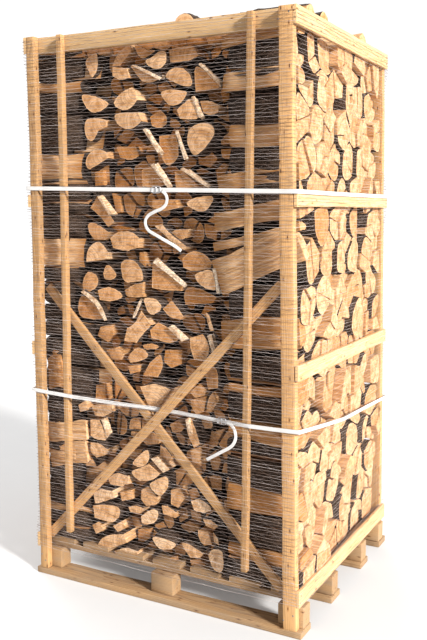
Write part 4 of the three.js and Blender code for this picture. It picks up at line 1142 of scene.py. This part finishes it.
def inside_outline(point, corners):
    """Whether a point lies inside a closed outline: a level line from it crosses an odd number of edges."""
    ahead = np.roll(corners, -1, 0)
    spans = (corners[:, 1] > point[1]) != (ahead[:, 1] > point[1])
    rise = np.where(ahead[:, 1] == corners[:, 1], 1e-9, ahead[:, 1] - corners[:, 1])
    meets = corners[:, 0] + (point[1] - corners[:, 1]) / rise * (ahead[:, 0] - corners[:, 0])
    return bool((spans & (point[0] < meets)).sum() % 2)


front_logs, placed = [], []
for title, (back_cm, tone, pixels) in FRONT_ENDS.items():
    face = FRONT_FACE + back_cm / 100
    corners = on_front_plane(pixels, face)[::-1]
    barked = barked_edges(corners)
    if not title.startswith("ledge"):
        placed.append(corners)
    # Painted light: the base and foot ends get a lighter tone.
    lift = FOOT_LIGHT_LIFT if title.startswith(("base", "foot")) else 0.0
    length = SLIVER_LONG if title.startswith("sliver") else FRONT_LOG - back_cm / 100
    front_logs.append((corners, barked, (0, face, 0), ALONG_X, ALONG_Z, ALONG_Y, length, tone + lift,
                       heart_of(corners, barked)))
row_wide = COLUMN_INNER["right"] - COLUMN_INNER["left"] - 2 * ROW_GAP
row_left = COLUMN_INNER["left"] + ROW_GAP
for corners, barked, ledge, heart, _ in stacked_ends(row_wide, column_tall, BEHIND_PITCH, 101, 0.012, 0.25):
    place_now = corners + (row_left, STACK_LOW)
    if any(inside_outline(place_now.mean(0), other) for other in placed):
        continue
    face = BEHIND_FACE - BEHIND_RELIEF * ledge
    # Painted light: ends further in and low in the stack get a lighter tone.
    lift = LIT_LIFT if place_now[:, 1].mean() < LIT_BELOW else 0.0
    # Painted shade: the ends further in get low tones.
    front_logs.append((place_now, barked, (0, face, 0), ALONG_X, ALONG_Z, ALONG_Y, -ROW_INNER - face,
                       float(tone_rng.uniform(0.0, 0.3)) + lift, heart + (row_left, STACK_LOW)))
split_logs("oak_row_front", front_logs, ["log_row_front"], 41)

# Side columns
# Logs laid along the crate, their sawn ends flush with the side rails. The outer ones lean against
# the net at their wall end, as far as the braces let them, and stop short of the front row's ends.
COLUMN_RELIEF = (0.012, 0.044)
LEAN_OUT = 0.033
LEAN_LIMITS = {
    # side: (from height, to height, how far a log can stand out there)
    "left": ((0.0, 0.52, 0.018), (0.90, 1.30, 0.003), (2.08, 2.20, 0.014)),
    "right": ((0.0, 0.46, 0.003), (0.97, 1.34, 0.018), (2.08, 2.20, 0.014)),
}
SHORTEST_LOG, BROWN_BELOW, BROWN_TONE = 0.06, 0.90, 0.35
OUTER_WITHIN, FLUSH, BEHIND_GAP, OVERLAP, END_GAP = 0.022, 0.002, 0.008, 0.006, 0.004


def lay_column(side, seed):
    """The split logs of one side column. An outer log's section is stretched outwards by its lean,
    and its axis turns back by as much, so that only its wall end stands out."""
    logs, right = [], side == "right"
    for number, (corners, barked, ledge, heart, jut) in enumerate(
            stacked_ends(column_wide, column_tall, LOG_PITCH, seed, 0.0042, 0.35)):
        far = corners[:, 0] if right else column_wide - corners[:, 0]
        front, rear = far.min() < OUTER_WITHIN, column_wide - far.max() < OUTER_WITHIN
        heights = corners[:, 1]
        z, low, high = STACK_LOW + heights.mean(), STACK_LOW + heights.min(), STACK_LOW + heights.max()
        beside = [long for way, under, over, long in side_on_reach
                  if way == right and low < over and high > under]
        if far.mean() < SIDE_ON_DEEP and any(long and way == right and under < z < over
                                             for way, under, over, long in side_on_reach):
            continue
        lean = 0.0
        if (front or rear) and not (front and beside):
            lean = min([LEAN_OUT] + [most for start, stop, most in LEAN_LIMITS[side]
                                     if low < stop and high > start])
        outwards = -1.0 if front else 1.0
        share = (far.max() - far if front else far - far.min()) / (far.max() - far.min())
        stand_out = outwards * (1 if right else -1) * lean * share
        corners = corners + np.stack([stand_out, np.zeros(len(share))], 1)
        out = COLUMN_RELIEF[0] + (COLUMN_RELIEF[1] - COLUMN_RELIEF[0]) * ledge + jut
        if front and not right:
            out = COLUMN_RELIEF[1] + FLUSH
        wall = leaning(WALL_X, z) if right else WALL_X
        end_x = wall - COLUMN_RELIEF[1] + min(out, COLUMN_RELIEF[1] + FLUSH)
        inner = abs(COLUMN_INNER[side])
        if front:
            inner = max([inner] + [
                (other[:, 0].max() if right else -other[:, 0].min()) + BEHIND_GAP for other in placed
                if other[:, 1].max() > low + OVERLAP and other[:, 1].min() < high - OVERLAP])
        length = end_x - inner - END_GAP
        tone = float(np.clip(tone_rng.normal(0.84, 0.20), 0.1, 1.0))
        if length < SHORTEST_LOG:
            continue
        if rear and number % 3 == 0:
            barked = barked * 0
        if front and right and low < BROWN_BELOW and number % 2 == 0:
            barked, tone = barked * 0, tone * BROWN_TONE
        inward = np.array([-1.0 if right else 1.0, -outwards * lean / length, 0])
        origin = (end_x if right else -end_x, COLUMN_Y["front" if right else "rear"], STACK_LOW)
        logs.append((corners, barked, origin, ALONG_Y if right else (0, -1, 0), ALONG_Z, inward, length,
                     tone, heart))
    return logs


right_logs, left_logs = lay_column("right", 7), lay_column("left", 23)
split_logs("oak_column_right", right_logs, ["log_column_right"], 31, shaded=True)
split_logs("oak_column_left", left_logs, ["log_column_left"], 37, shaded=True)

# Middle and rear rows
# The same split oak, end to end behind the front row. The rear row's ends face backwards.
REAR_RELIEF, REAR_INSET = 0.080, 0.002
MIDDLE_FRONT, MIDDLE_LONG, MIDDLE_LOWER = -0.150, 0.300, 0.024
rear_logs, middle_logs = [], []
for corners, barked, ledge, heart, _ in stacked_ends(row_wide, column_tall, END_LOG_PITCH, 211, 0.006, 0.3):
    face = CENTRE_END - REAR_RELIEF * (1 - ledge) - REAR_INSET
    rear_logs.append((corners, barked, (COLUMN_INNER["right"] - ROW_GAP, face, STACK_LOW), (-1, 0, 0),
                      ALONG_Z, (0, -1, 0), face - ROW_INNER,
                      float(np.clip(tone_rng.normal(0.55, 0.25), 0, 1)), heart))
for corners, barked, _, heart, _ in stacked_ends(row_wide, column_tall - MIDDLE_LOWER, END_LOG_PITCH, 150,
                                                 0.006, 0.3):
    middle_logs.append((corners, barked, (row_left, MIDDLE_FRONT, STACK_LOW), ALONG_X, ALONG_Z, ALONG_Y,
                        MIDDLE_LONG, float(tone_rng.uniform(0.3, 0.8)), heart))
split_logs("oak_row_rear", rear_logs, ["log_row_rear"], 47)
split_logs("oak_row_middle", middle_logs, ["log_row_middle"], 53, stations=5)

# Loose logs on top
# Larger split halves thrown on last. They lie flat side down on the stack and reach above the rails.
LOOSE_LENGTH, LOOSE_INSET, LOOSE_SHRINK = 0.270, 0.002, 0.97
LOOSE_Z = 2.1505
LOOSE_SECTION = np.array([(-0.0275, 0.0), (0.025, 0.0), (0.048, 0.034), (0.038, 0.074), (0.0, 0.0935),
                          (-0.037, 0.075), (-0.048, 0.035)])
LOOSE_LOGS = {
    # name: (x, y, along X, edges with bark, tone)
    "front": (0.084, -0.300, False, (0, 0, 1, 1, 1, 1, 0), 0.80),
    "front_right": (0.404, -0.345, True, (0, 0, 1, 1, 1, 0, 0), 0.85),
    "right_middle": (0.405, -0.215, True, (0, 0, 0, 1, 1, 1, 0), 0.55),
    "right_rear": (0.405, 0.225, True, (0, 1, 1, 1, 0, 0, 0), 0.75),
    "rear_left": (-0.430, 0.180, True, (0, 0, 1, 1, 1, 1, 0), 0.60),
    "rear": (-0.110, 0.260, False, (0, 0, 0, 1, 1, 1, 1), 0.70),
}
for number, (title, (x, y, lengthways, barked, tone)) in enumerate(LOOSE_LOGS.items()):
    half = LOOSE_LENGTH / 2 - LOOSE_INSET
    if lengthways:
        laid = ((x + half, y, LOOSE_Z), ALONG_Y, ALONG_Z, (-1, 0, 0))
    else:
        laid = ((x, y - half, LOOSE_Z), ALONG_X, ALONG_Z, ALONG_Y)
    loose = (LOOSE_SECTION * LOOSE_SHRINK, np.array(barked), *laid, 2 * half, tone, np.array([0.0, 0.0]))
    split_logs(f"oak_loose_{title}", [loose], [f"loose_log_{title}"], 60 + number, stations=14, waver=0.0012)

# Side rails
# Thin sawn boards nailed to the outside of the posts, four a side, paler than the posts.
RAIL_PALE = (0.74, 0.51, 0.28, 1)
RAIL_DARK = (0.48, 0.26, 0.09, 1)
RAIL_THICK, RAIL_X, HALF_DEPTH = 0.014, 0.593, 0.515
RAIL_HEIGHTS = {
    # name: (lower edge, upper edge)
    "base": (0.118, 0.178),
    "lower": (0.942, 0.997),
    "upper": (1.541, 1.591),
    "top": (2.138, 2.200),
}
rail_wood = sawn_finish("rail_wood", RAIL_PALE, RAIL_DARK, 0.0034, 0.35, 0.25)
wall_up = np.array([-LEAN / HEIGHT, 0, 1.0])
for number, (title, (low, high)) in enumerate(RAIL_HEIGHTS.items()):
    z = (low + high) / 2
    for side, x, up, tone in (("right", leaning(RAIL_X, z), wall_up, 0.60 + 0.06 * (number % 3)),
                              ("left", -RAIL_X, ALONG_Z, 0.50 + 0.07 * (number % 3))):
        sawn_boards(f"rail_{side}_{title}", [
            ((x, -HALF_DEPTH, z), (x, HALF_DEPTH, z), up, ALONG_X, high - low, RAIL_THICK, tone)
        ], rail_wood, [f"side_rail_{side}_{title}"], bow=0.0008)

# Front and rear timber
# A top rail nailed behind the posts, two upright laths outside, and two long braces crossed
# between them. All are sawn softwood; laths and braces are thin strips with rubbed edges.
END_RAIL_X, END_RAIL_Y, END_RAIL_THICK = 0.5857, 0.4747, 0.020
LATH_WIDE, LATH_DEEP, LATH_Y, LATH_LOW, LATH_SHORT = 0.024, 0.025, 0.4985, 0.205, 0.003
LATH_X = {"left": (-0.437, -0.429), "right": (0.370, 0.383)}
BRACE_WIDE, BRACE_THICK = 0.037, 0.015
BRACES = {
    # name: (left end, right end, how far from the middle of the crate, tone)
    "rising": ((-0.556, 0.167), (0.498, 1.274), 0.4772, 0.46),
    "falling": ((-0.550, 1.221), (0.503, 0.149), 0.4598, 0.26),
}
for end, side in (("front", -1), ("rear", 1)):
    low, high = RAIL_HEIGHTS["top"]
    z = (low + high) / 2
    sawn_boards(f"end_rail_{end}", [
        ((-END_RAIL_X, side * END_RAIL_Y, z), (leaning(END_RAIL_X, z), side * END_RAIL_Y, z), ALONG_Z,
         ALONG_Y, high - low, END_RAIL_THICK, 0.30)
    ], rail_wood, [f"top_rail_{end}"], bow=0.001)
    for number, (title, (x_low, x_high)) in enumerate(LATH_X.items()):
        sawn_boards(f"upright_lath_{end}_{title}", [
            ((x_low, side * LATH_Y, LATH_LOW), (x_high, side * LATH_Y, HEIGHT - LATH_SHORT), ALONG_X, ALONG_Y,
             LATH_WIDE, LATH_DEEP, 0.34 - 0.14 * number)
        ], frame_wood, [f"lath_{end}_{title}"], bow=0.002)
    for title, (start, finish, y, tone) in BRACES.items():
        run = np.array(finish) - np.array(start)
        wide = np.array([-run[1], 0, run[0]]) / np.linalg.norm(run)
        sawn_boards(f"cross_brace_{end}_{title}", [
            ((start[0], side * y, start[1]), (finish[0], side * y, finish[1]), wide, ALONG_Y, BRACE_WIDE,
             BRACE_THICK, tone)], frame_wood, [f"brace_{end}_{title}"], bow=0.0006)

# Nails
# Round steel nails, two through each rail at each post, driven flush into the wood.
NAIL_RADIUS, NAIL_PROUD = 0.0036, 0.0007
NAIL_RINGS, NAIL_POINTS = 3, 10
NAIL_STEEL = (0.32, 0.30, 0.28, 1)
RUST_BROWN = (0.16, 0.08, 0.04, 1)
OUTER_X, NAIL_Y = 0.600, 0.5150


def shade_nail(tree):
    """Dull steel with brown rust in spots."""
    where = place(tree, "ShaderNodeTexCoord").outputs["Object"]
    rust = speckle(tree, where, 420.0)
    return blend_colours(tree, span(tree, rust, 0.45, 0.7), NAIL_STEEL, RUST_BROWN), 0.5, rust, 0.0002


nail_steel = finish_material("nail_steel", shade_nail)
nail_steel.node_tree.nodes["Principled BSDF"].inputs["Metallic"].default_value = 0.7
nail_places = []
for low, high in RAIL_HEIGHTS.values():
    for share in (0.3, 0.72):
        z = low + (high - low) * share
        for y in (-0.503, 0.497):
            nail_places.append(((leaning(OUTER_X, z), y + 0.008 * (share - 0.5), z), ALONG_X))
            nail_places.append(((-OUTER_X, y - 0.006 * (share - 0.5), z), (-1, 0, 0)))
for x in (0.534, 0.572, -0.578, -0.560):
    for y, way in ((-NAIL_Y, (0, -1, 0)), (NAIL_Y, ALONG_Y)):
        nail_places.append(((leaning(x, 2.17) if x > 0 else x, y, 2.158 + 0.02 * (abs(x) > 0.565)), way))
        nail_places.append(((x, y, 0.060 + 0.025 * (abs(x) > 0.565)), way))


def nail_heads(places):
    """Low domes, each three rings of points: sunk in the wood, at the rim, and raised near the middle."""
    centres = np.array([p[0] for p in places], float)
    out = np.array([p[1] for p in places], float)
    side = np.cross(out, (0, 0, 1.0))
    turn = np.linspace(0, 2 * math.pi, NAIL_POINTS, endpoint=False)
    radii = np.array([1.0, 1.0, 0.6])
    lift = np.array([-0.6, 0.35, 0.9]) * NAIL_PROUD
    ring = np.stack([np.cos(turn), np.sin(turn)], 1)
    points = (centres[:, None, None] + lift[None, :, None, None] * out[:, None, None]
              + NAIL_RADIUS * radii[None, :, None, None] * (ring[None, None, :, :1] * side[:, None, None]
                                                           + ring[None, None, :, 1:] * np.array([0, 0, 1.0])))
    faces = []
    for one in range(len(places)):
        base = one * NAIL_RINGS * NAIL_POINTS
        top = base + (NAIL_RINGS - 1) * NAIL_POINTS
        faces += (ring_faces(NAIL_RINGS, NAIL_POINTS) + base).tolist()
        faces += [list(range(base, base + NAIL_POINTS)), list(range(top, top + NAIL_POINTS))]
    return add_mesh("nail_heads", points.reshape(-1, 3), faces, [nail_steel])


nails = nail_heads(nail_places)
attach(nails, "root")

# Wrapping net
# Knitted polyethylene net, pulled tight round the whole crate: level strands a thumb's width
# apart, tied by fine zigzag threads. It spans the openings and bulges where it passes a rail.
STRAND_TALL, STRAND_THICK = 0.0012, 0.0006
TIE_TALL, TIE_THICK = 0.0005, 0.0003
COURSE_PITCH = 0.0125
NET_LOW, NET_HIGH = 0.122, 2.186
NET_OFF = 0.0019
NET_MILKY = (0.54, 0.48, 0.46, 1)
# The net's dark colour is painted shade, mixed in by patches of noise.
NET_PAINTED_SHADE = (0.16, 0.11, 0.09, 1)
STRAND_STEP, TIE_STEP = 0.020, 0.036
NET_ROUND, NET_PARTS = 4.43, ("low", "middle", "high")
NET_DRIFT = (
    # height of the wave, waves round the crate, its step from course to course, its start
    (0.0016, 5, 0.21, 0.4), (0.0012, 11, 0.9, 2.0), (0.0008, 23, 2.3, 1.0),
)


def shade_net(tree):
    """Thin milky tape, darker in patches by noise: painted shade that stands for the shadow lines under the
    strands.
    """
    where = place(tree, "ShaderNodeTexCoord").outputs["Object"]
    soil_and_shade = speckle(tree, stretch(tree, where, (5.0, 5.0, 85.0)), 1.0)
    fold = speckle(tree, stretch(tree, where, (160.0, 160.0, 900.0)), 1.0)
    return blend_colours(tree, span(tree, soil_and_shade, 0.34, 0.62), NET_MILKY, NET_PAINTED_SHADE), 0.45, fold, 0.0003


net_thread = finish_material("net_thread", shade_net)
rail_middles = np.array([(low + high) / 2 for low, high in RAIL_HEIGHTS.values()])
rail_halves = np.array([(high - low) / 2 for low, high in RAIL_HEIGHTS.values()])


def net_place(share, z, off):
    """Where the net lies, from its share of the way round, its height and how far it stands off:
    a level rectangle over the posts, wider by a smooth hump at each side rail."""
    beyond = np.maximum(0, np.abs(z[..., None] - rail_middles) - rail_halves)
    hump = np.exp(-(beyond / 0.060)**2).max(-1) * RAIL_THICK
    corners = np.array([0.0, 0.001, 0.268, 0.270, 0.499, 0.501, 0.768, 0.770, 0.999, 1.0])
    cx = np.interp(share % 1.0, corners, [-1, -0.995, 0.995, 1, 1, 0.995, -0.995, -1, -1, -1])
    cy = np.interp(share % 1.0, corners, [-1, -1, -1, -0.995, 0.995, 1, 1, 0.995, -0.995, -1])
    half_x = WALL_X + 0.0006 + hump + off
    half_y = HALF_DEPTH + off
    x = cx * half_x - np.where(cx > 0, cx * LEAN * z / HEIGHT, 0)
    return np.stack([x, cy * half_y, z], -1)


def threads(share, z, off, tall, thick, closed):
    """Threads with three-sided sections along many routes at once, a flat side in and a ridge out."""
    middle = net_place(share, z, off)
    ahead = np.roll(middle, -1, 1) - np.roll(middle, 1, 1)
    if not closed:
        ahead[:, 0], ahead[:, -1] = middle[:, 1] - middle[:, 0], middle[:, -1] - middle[:, -2]
    ahead /= np.linalg.norm(ahead, axis=2, keepdims=True)
    out = np.stack([ahead[..., 1], -ahead[..., 0], np.zeros(z.shape)], -1)
    out /= np.linalg.norm(out, axis=2, keepdims=True)
    rise = np.cross(out, ahead)
    section = np.array([(-0.5, -tall / 2), (-0.5, tall / 2), (0.6, 0.0)])
    points = (middle[:, :, None] + out[:, :, None] * (section[:, :1] * thick)[None, None]
              + rise[:, :, None] * section[:, 1:][None, None])
    routes, count = z.shape
    faces = ring_faces(count, 3, closed)[None] + (np.arange(routes) * count * 3)[:, None, None]
    faces = faces.reshape(-1, 4).tolist()
    if not closed:
        first = np.arange(routes) * count * 3
        last = first + (count - 1) * 3
        faces += (first[:, None] + np.arange(3)).tolist() + (last[:, None] + np.arange(3)).tolist()
    return points.reshape(-1, 3), faces


def course_drift(share, rows):
    """How far each course wanders up and down on its way round: three sines, out of step by row."""
    return sum(tall * np.sin(2 * math.pi * waves * share + step * rows[:, None] + start)
               for tall, waves, step, start in NET_DRIFT)


net_rng = np.random.default_rng(71)
course_z = np.arange(NET_LOW, NET_HIGH, COURSE_PITCH)
for part, rows in zip(NET_PARTS, np.array_split(np.arange(len(course_z)), len(NET_PARTS))):
    count = int(NET_ROUND / STRAND_STEP)
    share = np.broadcast_to(np.arange(count) / count, (len(rows), count))
    z = course_z[rows][:, None] + course_drift(share, rows) + net_rng.normal(0, 0.0010, (len(rows), 1))
    off = NET_OFF + 0.0012 * np.abs(np.sin(2 * math.pi * share * 9 + 1.7 * rows[:, None]))
    points, faces = threads(share, z, off, STRAND_TALL, STRAND_THICK, True)

    tie_count = int(NET_ROUND / TIE_STEP)
    tie_share = np.broadcast_to(np.arange(tie_count) / tie_count, (len(rows), tie_count))
    tie_share = (tie_share + net_rng.uniform(0, 1, (len(rows), 1))
                 + net_rng.normal(0, 0.10 * TIE_STEP / NET_ROUND, (len(rows), tie_count)))
    order = np.arange(tie_count)[None, :] % 2
    tie_z = course_z[rows][:, None] + order * COURSE_PITCH * 0.98
    tie_z = tie_z + course_drift(tie_share, rows)
    tie_off = np.full((len(rows), tie_count - 1), NET_OFF + 0.0004)
    tie_points, tie_faces = threads(tie_share[:, :-1], np.minimum(tie_z[:, :-1], NET_HIGH + 0.004), tie_off,
                                    TIE_TALL, TIE_THICK, False)
    offset = len(points)
    faces += [[corner + offset for corner in face] for face in tie_faces]
    net = add_mesh(f"net_{part}", np.vstack([points, tie_points]), faces, [net_thread], smooth=False)
    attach(net, "root")
    if part == "low":
        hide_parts("wrap_net")

# Straps
# Two bands of woven polyester cord round the whole crate, 16 mm wide, over the net. The lower
# one dips behind the rising front brace and slopes down along the right-hand side.
STRAP_WIDE, STRAP_THICK, STRAP_OFF = 0.016, 0.0010, 0.0036
STRAP_CORNER = 0.006
SLOT_Y = -0.4685
STRAIGHT_STEP, STRAP_WAVER = 0.03, 0.0015
strap_left, strap_front = -OUTER_X - STRAP_OFF, -HALF_DEPTH - STRAP_OFF


def strap_right(z):
    """The strap's line on the leaning right-hand side."""
    return leaning(OUTER_X, z) + STRAP_OFF


def strap_round(name, bends, node, seed):
    """A closed band through its bends, each rounded by a short arc, with a slight waver between."""
    bends = np.array(bends, float)
    before, after = np.roll(bends, 1, 0), np.roll(bends, -1, 0)
    arrive = (bends - before) / np.linalg.norm(bends - before, axis=1, keepdims=True)
    leave = (after - bends) / np.linalg.norm(after - bends, axis=1, keepdims=True)
    share = np.array([1.0, 0.4, 0.4, 1.0])
    toward = np.array([1, 1, 0.25, 0])
    arcs = (bends[:, None] - arrive[:, None] * (STRAP_CORNER * share * toward)[None, :, None]
            + leave[:, None] * (STRAP_CORNER * share * toward[::-1])[None, :, None])
    starts, ends = arcs[:, -1], np.roll(arcs[:, 0], -1, 0)
    straights = [starts[k] + (ends[k] - starts[k]) * np.linspace(0, 1, max(3, int(
        np.linalg.norm(ends[k] - starts[k]) / STRAIGHT_STEP)))[1:-1, None] for k in range(len(bends))]
    rng = np.random.default_rng(seed)
    route = []
    for k in range(len(bends)):
        waver = np.sin(np.linspace(0, math.pi, len(straights[k]))) * rng.uniform(-STRAP_WAVER, STRAP_WAVER)
        straights[k][:, 2] += waver
        route += [arcs[k], straights[k]]
    route = np.vstack(route)
    ahead = np.roll(route, -1, 0) - np.roll(route, 1, 0)
    out = np.stack([ahead[:, 1], -ahead[:, 0], np.zeros(len(route))], 1)
    vertices, faces, grain = flat_band(route, out, STRAP_WIDE, STRAP_THICK, closed=True)
    piece = add_mesh(name, vertices, faces, [woven_strap], fields={"grain": grain})
    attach(piece, "root")
    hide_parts(node)
    return piece


strap_round("band_upper", [
    (strap_left, strap_front, 1.617), (strap_right(1.593), strap_front, 1.593),
    (strap_right(1.589), -strap_front, 1.589), (strap_left, -strap_front, 1.609)], "strap_upper", 81)
strap_round("band_lower", [
    (strap_left, strap_front, 0.796), (-0.405, strap_front, 0.786), (-0.034, SLOT_Y, 0.768),
    (0.068, SLOT_Y, 0.765), (0.398, strap_front, 0.763), (strap_right(0.765), strap_front, 0.765),
    (strap_right(0.710), -0.060, 0.710), (strap_right(0.685), -strap_front, 0.685),
    (strap_left, -strap_front, 0.735)], "strap_lower", 83)
